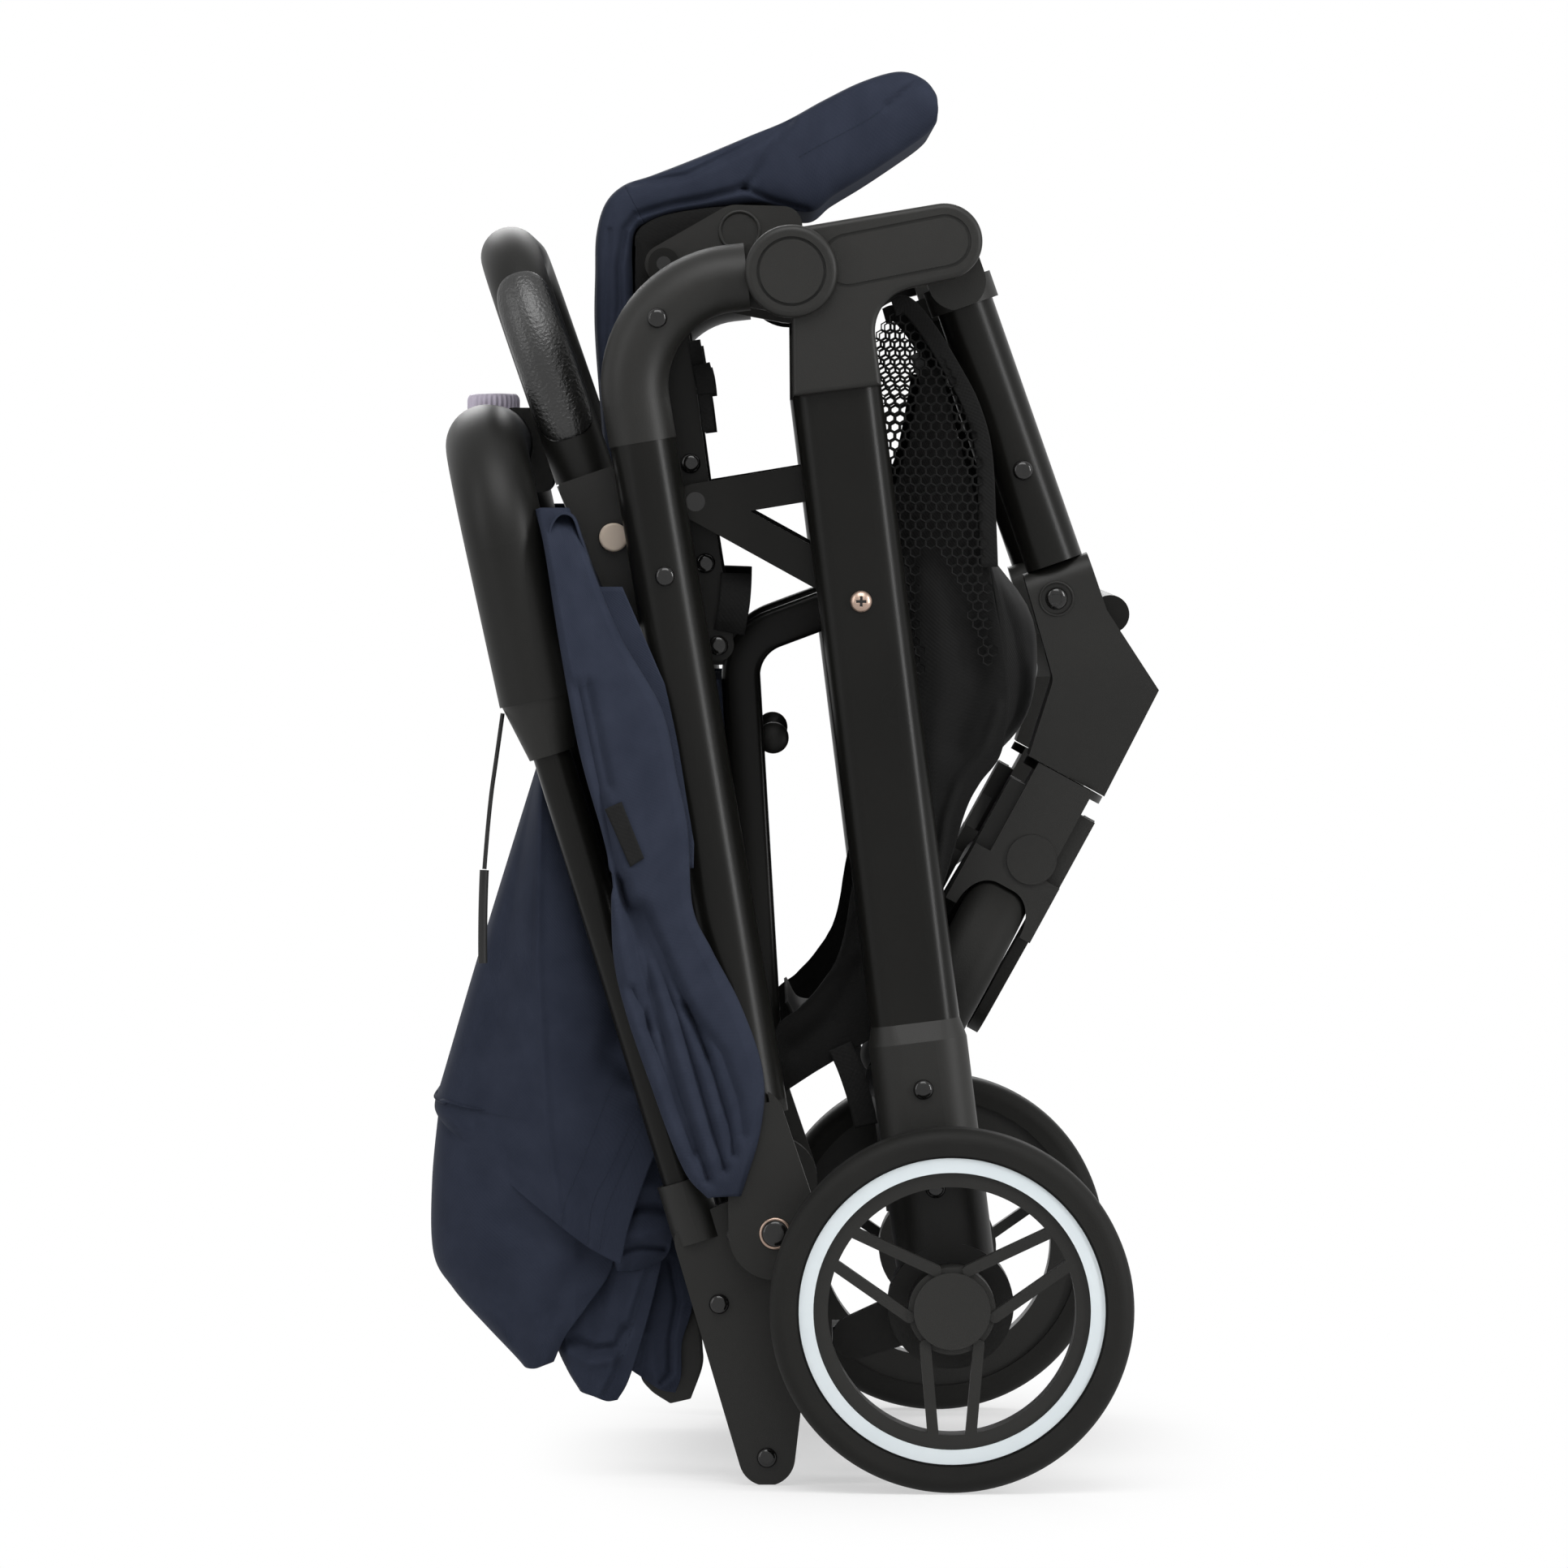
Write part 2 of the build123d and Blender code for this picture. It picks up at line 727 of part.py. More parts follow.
# Canopy: bow, hood cloth behind the handle, visor cloth beside it
def make_bow():
    arm_foot = toward(bow_pivot, bow_top, bow_eye_radius - bow_lap)
    with BuildPart() as bow:
        with BuildLine() as route:
            right = [at(place, bow_middle) for place in (arm_foot, bow_top)]
            left = [at(place, -bow_middle) for place in (bow_top, arm_foot)]
            FilletPolyline(*right, *left, radius=bow_bend)
        with BuildSketch(Plane(origin=route.wire() @ 0, z_dir=route.wire() % 0)):
            Circle(bow_radius)
        sweep(path=route.wire())
        for side in (-1, 1):
            with BuildSketch(Plane.XZ.offset(side * bow_middle)):
                with Locations(bow_pivot):
                    Circle(bow_eye_radius)
            extrude(amount=bow_eye_half, both=True)
        with BuildSketch(layer_plane(-2 * bow_middle)):
            with Locations(bow_pivot):
                Circle(small_pin_radius + pin_play)
        extrude(amount=4 * bow_middle, mode=Mode.SUBTRACT)
    return bow.part


def make_hood():
    outline = [
        (-110.0, 296.0), (-132.0, 218.0), (-148.5, 154.0), (-half_depth, 93.0), (-142.0, 80.0),
        (-113.0, 49.5), (-98.0, 46.0), (-83.0, 33.0), (-62.0, 30.0), (-50.0, 31.0),
        (-41.5, 48.0), (-40.5, 74.0), (-48.0, 100.0), (-60.0, 112.0), (-67.0, 136.0),
        (-58.0, 150.0), (-76.0, 215.0), (-98.0, 290.0),
    ]
    last_layer = [(-66.0, 110.0), (-62.0, 76.0), (-60.0, 48.0), (-53.0, 36.0)]
    hollow = [
        (-107.0, 262.0), (-128.0, 214.0), (-144.0, 152.0), (-146.0, 95.0), (-110.0, 56.0),
        (-70.0, 40.0), (-30.0, 60.0), (-30.0, 262.0),
    ]
    with BuildPart() as hood:
        with BuildSketch(Plane.XZ):
            Polygon(*outline, align=None)
        extrude(amount=hood_half_width, both=True)
        fillet(hood.edges().filter_by(Axis.Y).group_by(Axis.X)[0], hood_round)
        with BuildSketch(Plane.XZ):
            Polygon(*hollow, align=None)
        extrude(amount=hood_half_width - cloth, both=True, mode=Mode.SUBTRACT)
        with BuildSketch(Plane.XZ):
            with BuildLine():
                Polyline(*last_layer)
            trace(line_width=cloth)
        extrude(amount=hood_half_width - cloth / 2, both=True)
    return hood.part


def make_visor():
    with BuildPart() as panel:
        with BuildSketch(layer_plane(visor_inner)):
            with BuildLine():
                top = (-100.0, 396.0)
                foot = (-26.0, 119.0)
                ThreePointArc(top, (-50.0, 276.0), (-16.0, 172.0))
                ThreePointArc((-16.0, 172.0), (-15.0, 140.0), foot)
                ThreePointArc(foot, (-66.0, 240.0), top)
            make_face()
        extrude(amount=cloth)
    with BuildPart() as hem:
        with BuildSketch(Plane.XZ):
            with Locations(bow_top):
                Circle(bow_radius + soft_gap + hem_wall)
                Circle(bow_radius + soft_gap, mode=Mode.SUBTRACT)
        extrude(amount=bow_middle - bow_bend - bow_radius, both=True)
    with BuildPart() as visor:
        add(both_sides(panel.part))
        add(hem.part)
    return visor.part


# Bumper bar: padded bar with leatherette insets, sockets and side plates, release buttons
def make_bumper_bar():
    with BuildPart() as bar:
        with BuildLine() as route:
            right = [at(place, bumper_middle) for place in (bumper_foot, bumper_top)]
            left = [at(place, -bumper_middle) for place in (bumper_top, bumper_foot)]
            FilletPolyline(*right, *left, radius=bumper_bend)
        with BuildSketch(Plane(origin=route.wire() @ 0, z_dir=route.wire() % 0)):
            Circle(bumper_radius)
        sweep(path=route.wire())
    return bar.part


def make_bumper_pad():
    pad_foot = toward(bumper_foot, bumper_top, pad_start)
    with BuildPart() as pad:
        with BuildSketch(line_plane(pad_foot, bumper_top, bumper_middle)):
            Circle(bumper_radius + pad_gap + pad_wall)
            Circle(bumper_radius + pad_gap, mode=Mode.SUBTRACT)
            with Locations((-bumper_radius, 0)):
                Rectangle(2 * bumper_radius, 4 * bumper_radius, mode=Mode.SUBTRACT)
        extrude(amount=pad_length - bumper_bend + pad_start)
    return both_sides(pad.part)


def make_bumper_arm():
    socket_end = toward(bumper_foot, bumper_pivot, bumper_socket)
    plate_start = toward(bumper_foot, bumper_pivot, plate_start_down)
    with BuildPart() as arm:
        with BuildSketch(layer_plane(bumper_plate_inner)):
            spots = ((plate_start, bumper_plate_radius), (bumper_pivot, bumper_eye_radius))
            for centre, radius in spots:
                with Locations(centre):
                    Circle(radius)
            make_hull()
        extrude(amount=bumper_plate_outer - bumper_plate_inner)
        with BuildSketch(line_plane(bumper_foot, socket_end, bumper_middle)):
            Circle(bumper_radius)
        extrude(amount=span(bumper_foot, socket_end))
        with BuildSketch(line_plane(bumper_foot, bumper_top, bumper_middle)):
            Circle(bumper_radius * 2)
        extrude(amount=bumper_radius * 2, mode=Mode.SUBTRACT)
        with BuildSketch(layer_plane(bumper_plate_inner)):
            with Locations(bumper_pivot):
                Circle(small_pin_radius + pin_play)
            with Locations(cream_button):
                Circle(cream_radius + button_play)
        extrude(amount=bumper_plate_outer - bumper_plate_inner, mode=Mode.SUBTRACT)
    return both_sides(arm.part)


def make_cream_button():
    with BuildPart() as button:
        with BuildSketch(layer_plane(bumper_plate_inner + cream_travel)):
            with Locations(cream_button):
                Circle(cream_radius)
        extrude(amount=bumper_plate_outer + cream_rise - bumper_plate_inner - cream_travel)
        fillet(button.faces().sort_by(Axis.Y)[0].edges(), cream_edge)
    return button.part


# Front frame: collar with its eye, leg tube, chunky elbow, footrest crossbar
front_slope = Vector(*front_lean).normalized()
steer = Vector(*steer_slope).normalized()


def on_front(distance):
    return (front_pivot[0] + front_slope.X * distance, front_pivot[1] + front_slope.Y * distance)


def on_steer(distance, side=0.0):
    x = steer_origin[0] + steer.X * distance - steer.Y * side
    return (x, steer_origin[1] + steer.Y * distance + steer.X * side)


collar_end = on_front(front_collar_start + front_collar_length)
front_leg_end = on_front(front_leg_length)


def make_front_collar():
    with BuildPart() as collar:
        with BuildSketch(layer_plane(front_eye_inner)):
            for centre in (front_pivot, on_front(front_collar_start)):
                with Locations(centre):
                    Circle(front_radius)
            make_hull()
        extrude(amount=front_eye_outer - front_eye_inner)
        with BuildSketch(line_plane(on_front(front_collar_start), collar_end, front_middle)):
            Circle(front_collar_radius)
        extrude(amount=front_collar_length)
        with BuildSketch(line_plane(collar_end, front_leg_end, front_middle)):
            Circle(4 * front_radius)
        extrude(amount=front_leg_length, mode=Mode.SUBTRACT)
        with BuildSketch(layer_plane(front_eye_inner)):
            with Locations(front_pivot):
                Circle(pin_radius + pin_play)
        extrude(amount=front_eye_outer - front_eye_inner, mode=Mode.SUBTRACT)
    return both_sides(collar.part)


# Elbow: one moulding whose near face slants from the leg's mouth in to the steering joint
outwards = Vector(0, -1, 0)
elbow_run = at(steer_origin, 0) - at(front_leg_end, 0)
elbow_slant = (elbow_upper_outer - steer_middle - elbow_lower_half) / elbow_run.length


def make_front_elbow():
    mouth_side = Vector(-front_slope.Y, front_slope.X) * elbow_mouth_half
    mouth_left = (front_leg_end[0] - mouth_side.X, front_leg_end[1] - mouth_side.Y)
    mouth_right = (front_leg_end[0] + mouth_side.X, front_leg_end[1] + mouth_side.Y)
    low_left = on_steer(0, -elbow_foot_half)
    low_right = on_steer(0, elbow_foot_half)
    beyond = 2 * elbow_mouth_half
    low_outer = steer_middle + elbow_lower_half
    low_inner = steer_middle - elbow_lower_half
    with BuildPart() as elbow:
        with BuildSketch(Plane.XZ) as outline:
            Polygon(mouth_left, mouth_right, elbow_back, elbow_tip, low_right, low_left, elbow_inner, align=None)
            inner_vertex = outline.vertices().sort_by_distance((*elbow_inner, 0))[0]
            fillet(inner_vertex, elbow_inner_round)
        extrude(amount=2 * elbow_upper_outer)
        with BuildSketch(Plane(origin=at(front_leg_end, 0), x_dir=elbow_run, z_dir=elbow_run.cross(outwards))):
            Polygon(
                (-beyond, elbow_upper_outer + beyond * elbow_slant),
                (elbow_run.length + beyond, low_outer - beyond * elbow_slant),
                (elbow_run.length + beyond, low_inner), (elbow_inner_slant[1], low_inner),
                (elbow_inner_slant[0], elbow_upper_inner), (-beyond, elbow_upper_inner), align=None,
            )
        extrude(amount=half_depth, both=True, mode=Mode.INTERSECT)
        near_face = elbow.faces().sort_by(Axis.Y)[0]
        rounded = near_face.edges().sort_by(Axis.Z)[1:-1]
        fillet(rounded, elbow_edge)
    return elbow.part


def make_front_crossbar():
    with BuildPart() as crossbar:
        with BuildSketch(Plane.XZ):
            with Locations(crossbar_centre):
                Circle(crossbar_radius)
        extrude(amount=elbow_upper_inner, both=True)
    return crossbar.part


# Fork: flange and trunk under the elbow, a fin beside each side of the trunk that runs down as an arm,
# a skirt arched over the tyre, axle across
wheel_centre = on_steer(front_axle_drop)
wheel_layer = steer_middle - front_trail
fork_top = at(on_steer(body_gap), steer_middle)
fork_plane = Plane(origin=fork_top, x_dir=(0, -1, 0), z_dir=(steer.X, 0, steer.Y))
across = (-steer.Y, 0, steer.X)
wheel_plane = Plane(origin=at(wheel_centre, wheel_layer), x_dir=(0, -1, 0), z_dir=across)


def make_fork():
    arm_middle = front_wheel_width / 2 + fork_gap
    arm_outer = arm_middle + fork_arm_wall
    with BuildPart() as tyre_room:
        with BuildSketch(wheel_plane):
            Circle(front_wheel_radius + fork_gap)
        extrude(amount=arm_middle, both=True)
        fillet(tyre_room.edges().filter_by(GeomType.CIRCLE), front_tyre_round + fork_gap)
    with BuildPart() as fork:
        with BuildSketch(fork_plane):
            Circle(fork_radius)
        extrude(amount=fork_flange)
        with BuildSketch(fork_plane):
            Rectangle(2 * fork_front, 2 * (arm_middle - fork_gap))
        extrude(amount=fork_skirt)
        with BuildSketch(fork_plane.offset(fork_fin_drop - fork_arm_width / 2)):
            Rectangle(2 * (fork_front - fork_web), 2 * arm_outer)
        extrude(amount=fork_skirt - fork_fin_drop)
        with BuildSketch(fork_plane.offset(fork_crown)):
            Rectangle(2 * fork_front, 2 * arm_outer)
        extrude(amount=fork_skirt - fork_crown)
        add(tyre_room.part, mode=Mode.SUBTRACT)
        with BuildSketch(Plane(origin=fork_top, x_dir=across, z_dir=(0, -1, 0)).offset(fork_front)):
            with Locations(fork_disc):
                Circle(fork_disc_radius)
        extrude(amount=fork_disc_height)
        for face in (arm_middle, -arm_outer):
            with BuildSketch(wheel_plane.offset(face)):
                with Locations((0, 0), (front_trail, fork_fin_drop - front_axle_drop)):
                    Circle(fork_arm_width / 2)
                make_hull()
            extrude(amount=fork_arm_wall)
        with BuildSketch(wheel_plane.offset(-arm_outer)):
            Circle(front_axle_radius)
        extrude(amount=2 * arm_outer)
    return fork.part


def make_front_tyre():
    with BuildPart() as tyre:
        with BuildSketch(wheel_plane):
            Circle(front_wheel_radius)
            Circle(front_wheel_radius - front_tyre_height, mode=Mode.SUBTRACT)
        extrude(amount=front_wheel_width / 2, both=True)
        fillet(tyre.edges().filter_by(GeomType.CIRCLE).group_by(SortBy.RADIUS)[-1], front_tyre_round)
    return tyre.part


def make_front_rim():
    with BuildPart() as rim:
        with BuildSketch(wheel_plane):
            Circle(front_wheel_radius - front_tyre_height)
            Circle(front_axle_radius + pin_play, mode=Mode.SUBTRACT)
        extrude(amount=front_web / 2, both=True)
        with BuildSketch(wheel_plane):
            Circle(front_hub_radius)
            Circle(front_axle_radius + pin_play, mode=Mode.SUBTRACT)
        extrude(amount=front_wheel_width / 2 + fork_gap - body_gap, both=True)
    return rim.part


# Seat frame: side rails with their two cross tubes, which carry the pad and the backrest
def make_seat_frame():
    with BuildPart() as seat_frame:
        for start, end in ((back_pivot, seat_pivot), (seat_pivot, leg_pivot)):
            for side in (-1, 1):
                with BuildSketch(Plane.XZ.offset(side * (rail_inner + rail_outer) / 2)):
                    for centre in (start, end):
                        with Locations(centre):
                            Circle(rail_half_width)
                    make_hull()
                extrude(amount=(rail_outer - rail_inner) / 2, both=True)
        for place in (seat_pivot, back_pivot):
            with BuildSketch(Plane.XZ):
                with Locations(place):
                    Circle(cross_tube_radius)
            extrude(amount=rail_inner, both=True)
        with BuildSketch(layer_plane(-2 * rail_outer)):
            with Locations(seat_pivot):
                Circle(pin_radius + pin_play)
            with Locations(leg_pivot):
                Circle(small_pin_radius)
        extrude(amount=2 * rail_outer - rail_inner, mode=Mode.SUBTRACT)
        with BuildSketch(layer_plane(rail_inner)):
            with Locations(seat_pivot):
                Circle(pin_radius + pin_play)
            with Locations(leg_pivot):
                Circle(small_pin_radius)
        extrude(amount=rail_outer, mode=Mode.SUBTRACT)
    return seat_frame.part


def make_seat_pad():
    back_face = seat_pivot[0] - cross_tube_radius - soft_gap
    with BuildPart() as pad:
        with BuildSketch(Plane.XZ):
            with BuildLine():
                Polyline((-70.0, 350.0), (back_face, 352.0), (back_face, 486.0), (-66.0, 505.0))
                Line((-66.0, 505.0), (-66.0, 530.5))
                ThreePointArc((-66.0, 530.5), (-78.5, 525.0), (-82.0, 510.0))
                ThreePointArc((-82.0, 510.0), (-83.5, 440.0), (-70.0, 350.0))
            make_face()
        extrude(amount=seat_half_width, both=True)
        fillet(pad.faces().filter_by(Axis.Y).edges().group_by(Axis.X)[0], seat_round)
    return pad.part


def make_legrest_pad():
    with BuildPart() as pad:
        with BuildSketch(Plane.XZ):
            with BuildLine():
                ThreePointArc((-65.4, 531.0), (-30.0, 548.0), (4.0, 566.0))
                ThreePointArc((4.0, 566.0), (24.0, 580.0), (44.0, 586.5))
                ThreePointArc((44.0, 586.5), (57.5, 582.0), (58.5, 567.0))
                ThreePointArc((58.5, 567.0), (30.0, 545.0), (4.0, 529.5))
                Polyline((4.0, 529.5), (-24.0, 535.0), (-65.4, 519.0), (-65.4, 531.0))
            make_face()
        extrude(amount=seat_half_width, both=True)
    return pad.part


def make_legrest_plate():
    with BuildPart() as plate:
        with BuildSketch(layer_plane(leg_plate_inner)):
            for centre, radius in leg_plate_spots:
                with Locations(centre):
                    Circle(radius)
            make_hull()
            with Locations(leg_pivot):
                Circle(small_pin_radius + pin_play, mode=Mode.SUBTRACT)
        extrude(amount=leg_plate_outer - leg_plate_inner)
    return both_sides(plate.part)


def make_backrest_frame():
    with BuildPart() as back:
        for side in (-1, 1):
            with BuildLine() as route:
                points = [at(place, side * back_tube_middle) for place in back_tube_route]
                FilletPolyline(*points, radius=back_bend)
            with BuildSketch(Plane(origin=route.wire() @ 0, z_dir=route.wire() % 0)):
                Circle(back_tube_radius)
            sweep(path=route.wire())
            with BuildSketch(Plane.XZ.offset(side * back_tube_middle)):
                for centre, radius in ((back_pivot, back_eye_radius), (back_lug_end, back_tube_radius)):
                    with Locations(centre):
                        Circle(radius)
                make_hull()
            extrude(amount=back_lug_half, both=True)
        with BuildSketch(Plane.XZ):
            with Locations(back_tube_route[-1]):
                Circle(back_tube_radius)
        extrude(amount=back_tube_middle + back_tube_radius, both=True)
        with BuildSketch(layer_plane(-2 * back_tube_middle)):
            with Locations(back_pivot):
                Circle(cross_tube_radius + pin_play)
        extrude(amount=4 * back_tube_middle, mode=Mode.SUBTRACT)
    return back.part


# Backrest pad in front of the backrest frame's tubes
def make_backrest_pad():
    near = back_tube_radius + soft_gap
    with BuildPart() as pad:
        with BuildSketch(line_plane(back_pad_head, back_pad_foot, 0)):
            with Locations((0, near + back_pad_thickness / 2)):
                Rectangle(2 * back_pad_half_width, back_pad_thickness)
        extrude(amount=span(back_pad_head, back_pad_foot))
        fillet(pad.faces().sort_by(Axis.X)[0].edges(), back_pad_round)
    return pad.part


# Basket: honeycomb net beside the rear legs, a hanging cloth between the frames and its side panels
def make_net():
    with BuildPart() as net:
        with BuildSketch(layer_plane(net_inner)):
            Polygon(*net_border, align=None)
            with BuildSketch(mode=Mode.PRIVATE) as gaps:
                with Locations(net_centre):
                    with HexLocations(net_pitch / 2, net_columns, net_rows):
                        RegularPolygon(net_hole, 6)
            with BuildSketch(mode=Mode.PRIVATE) as field:
                Polygon(*net_border, align=None)
                offset(amount=-net_hem)
            with BuildSketch(mode=Mode.PRIVATE) as cut:
                add(gaps.sketch)
                add(field.sketch, mode=Mode.INTERSECT)
            add(cut.sketch, mode=Mode.SUBTRACT)
        extrude(amount=net_wall)
    return both_sides(net.part)


def make_basket_cloth():
    with BuildPart() as basket:
        with BuildSketch(Plane.XZ):
            with BuildLine():
                Polyline(*basket_upper)
            trace(line_width=cloth)
        extrude(amount=net_inner - soft_gap, both=True)
        with BuildSketch(Plane.XZ):
            with BuildLine():
                FilletPolyline(*basket_lower, radius=basket_bend)
            trace(line_width=cloth)
        extrude(amount=basket_half_width, both=True)
        for side in (-1, 1):
            with BuildSketch(Plane.XZ.offset(side * (net_inner - basket_side_gap - cloth / 2))):
                Polygon(*basket_side, align=None)
            extrude(amount=cloth / 2, both=True)
    return basket.part


# Brake pedal on the axle, behind the right wheel holder
def make_brake_pedal():
    layer = leg_middle - holder_depth / 2 - body_gap
    hub = ((wheel_x, wheel_radius), pedal_hub_radius)
    with BuildPart() as pedal:
        with BuildSketch(layer_plane(layer - pedal_thickness)):
            for centre, radius in (hub, (pedal_end, pedal_end_radius)):
                with Locations(centre):
                    Circle(radius)
            make_hull()
            with Locations((wheel_x, wheel_radius)):
                Circle(axle_radius + pin_play, mode=Mode.SUBTRACT)
        extrude(amount=pedal_thickness)
        with Locations((pedal_end[0], pedal_tread[1] / 2 + pedal_thickness / 2 - layer, pedal_end[1])):
            Box(*pedal_tread)
    return pedal.part


# Fasteners: hinge pins pressed into one side of each hinge, domed rivets and screws
def group(*pieces_in_group):
    with BuildPart() as together:
        for one in pieces_in_group:
            add(one)
    return together.part


def make_frame_fasteners():
    pin_end = hub_outer - hub_edge
    holder_face = leg_middle + holder_depth / 2
    return group(
        pins([fold_pivot], hub_inner - pin_lap, pin_end, pin_radius),
        pins([front_pivot], front_eye_inner, pin_end, pin_radius),
        pins([seat_pivot], rail_inner, bracket_bar_outer, pin_radius),
        rivets([(26.6, 366.0)], leg_middle + leg_depth / 2),
        rivets([(52.3, 164.5), (57.3, 123.7)], holder_face),
    )


def make_upper_fasteners():
    tube_face = leg_middle + upper_radius
    on_elbow = elbow_route() @ 0.44
    on_tube = toward(elbow_seam, handle_pivot, 56)
    return group(
        pins([handle_pivot], bracket_inner - pin_lap, tube_face, pin_radius),
        rivets([handle_pivot], tube_face, brass_head_radius),
        pins([bumper_pivot], bumper_plate_inner - pin_lap, leg_middle - upper_radius / 2, small_pin_radius),
        rivets([(on_elbow.X, on_elbow.Z)], leg_middle + elbow_radius),
        rivets([on_tube], tube_face),
    )


def make_handle_fasteners():
    return group(
        pins([bow_pivot], bow_middle - bow_radius - pin_lap, bracket_outer - pin_lap, small_pin_radius),
        rivets([(-32.1, 75.0), foot_centre], bracket_outer),
    )


def make_elbow_screw():
    along = elbow_run.normalized()
    down = (at(elbow_screw, 0) - at(front_leg_end, 0)).dot(along)
    place = at(elbow_screw, elbow_upper_outer - elbow_slant * down)
    with BuildPart() as screw:
        with BuildSketch(Plane(origin=place, z_dir=outwards + along * elbow_slant)):
            Circle(rivet_radius)
        extrude(amount=rivet_height)
        fillet(screw.faces().filter_by(GeomType.PLANE).sort_by(Axis.Y)[0].edges(), rivet_height * rivet_dome)
    return both_sides(screw.part)


def make_front_fasteners():
    return group(
        rivets([on_front(100)], front_middle + front_radius),
        make_elbow_screw(),
    )


def make_seat_fasteners():
    places = [toward(seat_pivot, back_pivot, 26), toward(seat_pivot, leg_pivot, 16), back_pivot]
    return group(
        pins([leg_pivot], leg_plate_inner, rail_outer, small_pin_radius),
        rivets(places, rail_outer),
    )


rear_leg = make_rear_leg()
hub_housing = make_hub_housing()
upper_tube = make_upper_tube()
handle_tube = straight_tube(socket_foot, collar_foot, handle_middle, handle_radius, tube_wall)
front_leg = straight_tube(collar_end, front_leg_end, front_middle, front_radius, tube_wall)
fork = make_fork()
front_tyre = make_front_tyre()
front_rim = make_front_rim()
rear_tyre = make_rear_tyre()
rear_rim = make_rear_rim()
ring = make_ring()
cream = make_cream_button()

pieces = {
    "rear_leg_right": rear_leg,
    "rear_leg_left": other_side(rear_leg),
    "hub_housing_right": hub_housing,
    "hub_housing_left": other_side(hub_housing),
    "pivot_knobs": both_sides(make_knob()),
    "wheel_holders": both_sides(make_wheel_holder()),
    "rear_axle": make_rear_axle(),
    "seat_brackets": both_sides(make_seat_bracket()),
    "frame_fasteners": make_frame_fasteners(),
    "basket_net": make_net(),
    "basket_cloth": make_basket_cloth(),
    "brake_pedal": make_brake_pedal(),
    "upper_tube_right": upper_tube,
    "upper_tube_left": other_side(upper_tube),
    "upper_elbows": both_sides(make_upper_elbow()),
    "upper_fasteners": make_upper_fasteners(),
    "hinge_fittings": both_sides(make_hinge_fitting()),
    "handle_brackets": both_sides(make_handle_bracket()),
    "handle_tube_right": handle_tube,
    "handle_tube_left": other_side(handle_tube),
    "handle_collars": both_sides(make_collar()),
    "handle_fasteners": make_handle_fasteners(),
    "handle_grip": make_grip(),
    "release_housing": make_release_housing(),
    "release_button": make_release_button(),
    "release_cable": make_cord("release cable", cable_route, cable_radius),
    "cable_sleeve": make_cord("cable sleeve", sleeve_route, sleeve_radius),
    "canopy_bow": make_bow(),
    "canopy_hood": make_hood(),
    "canopy_visor": make_visor(),
    "bumper_bar": make_bumper_bar(),
    "bumper_pads": make_bumper_pad(),
    "bumper_arms": make_bumper_arm(),
    "bumper_button_right": cream,
    "bumper_button_left": other_side(cream),
    "front_collars": make_front_collar(),
    "front_leg_right": front_leg,
    "front_leg_left": other_side(front_leg),
    "front_elbows": both_sides(make_front_elbow()),
    "front_fasteners": make_front_fasteners(),
    "front_crossbar": make_front_crossbar(),
    "fork_right": fork,
    "fork_left": other_side(fork),
    "front_tyre_right": front_tyre,
    "front_tyre_left": other_side(front_tyre),
    "front_rim_right": front_rim,
    "front_rim_left": other_side(front_rim),
    "rear_tyre_right": rear_tyre,
    "rear_tyre_left": other_side(rear_tyre),
    "rear_rim_right": rear_rim,
    "rear_rim_left": other_side(rear_rim),
    "rear_ring_right": ring,
    "rear_ring_left": other_side(ring),
    "seat_frame": make_seat_frame(),
    "seat_fasteners": make_seat_fasteners(),
    "seat_pad": make_seat_pad(),
    "legrest_plates": make_legrest_plate(),
    "legrest_pad": make_legrest_pad(),
    "backrest_frame": make_backrest_frame(),
    "backrest_pad": make_backrest_pad(),
}

os.makedirs("parts", exist_ok=True)
for name, piece in pieces.items():
    piece.label = name
    export_step(piece, f"parts/{name}.step")
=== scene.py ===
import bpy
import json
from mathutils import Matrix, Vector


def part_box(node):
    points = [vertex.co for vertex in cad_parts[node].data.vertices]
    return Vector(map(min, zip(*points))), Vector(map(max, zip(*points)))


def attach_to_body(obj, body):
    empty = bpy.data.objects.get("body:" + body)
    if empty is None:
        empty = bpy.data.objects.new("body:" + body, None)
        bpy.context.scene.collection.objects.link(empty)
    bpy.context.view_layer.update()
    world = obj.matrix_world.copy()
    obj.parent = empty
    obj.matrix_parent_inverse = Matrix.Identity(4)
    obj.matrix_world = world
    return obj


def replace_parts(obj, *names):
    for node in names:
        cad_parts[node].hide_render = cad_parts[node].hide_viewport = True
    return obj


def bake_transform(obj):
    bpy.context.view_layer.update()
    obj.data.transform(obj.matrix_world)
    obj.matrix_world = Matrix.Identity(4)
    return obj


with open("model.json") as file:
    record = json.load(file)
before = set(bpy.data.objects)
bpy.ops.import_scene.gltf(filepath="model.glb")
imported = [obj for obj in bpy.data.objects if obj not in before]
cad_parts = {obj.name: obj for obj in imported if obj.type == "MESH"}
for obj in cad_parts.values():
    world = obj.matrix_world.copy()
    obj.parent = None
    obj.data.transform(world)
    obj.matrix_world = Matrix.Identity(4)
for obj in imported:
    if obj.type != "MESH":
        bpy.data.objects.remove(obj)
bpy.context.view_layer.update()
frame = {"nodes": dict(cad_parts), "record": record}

import json
from math import pi

import bpy
import numpy as np

scene = bpy.context.scene
# Right is the near side of the photo, at negative Y
bothSides = (("Right", -1), ("Left", 1))
print("frame loaded:", len(frame["nodes"]), "nodes")


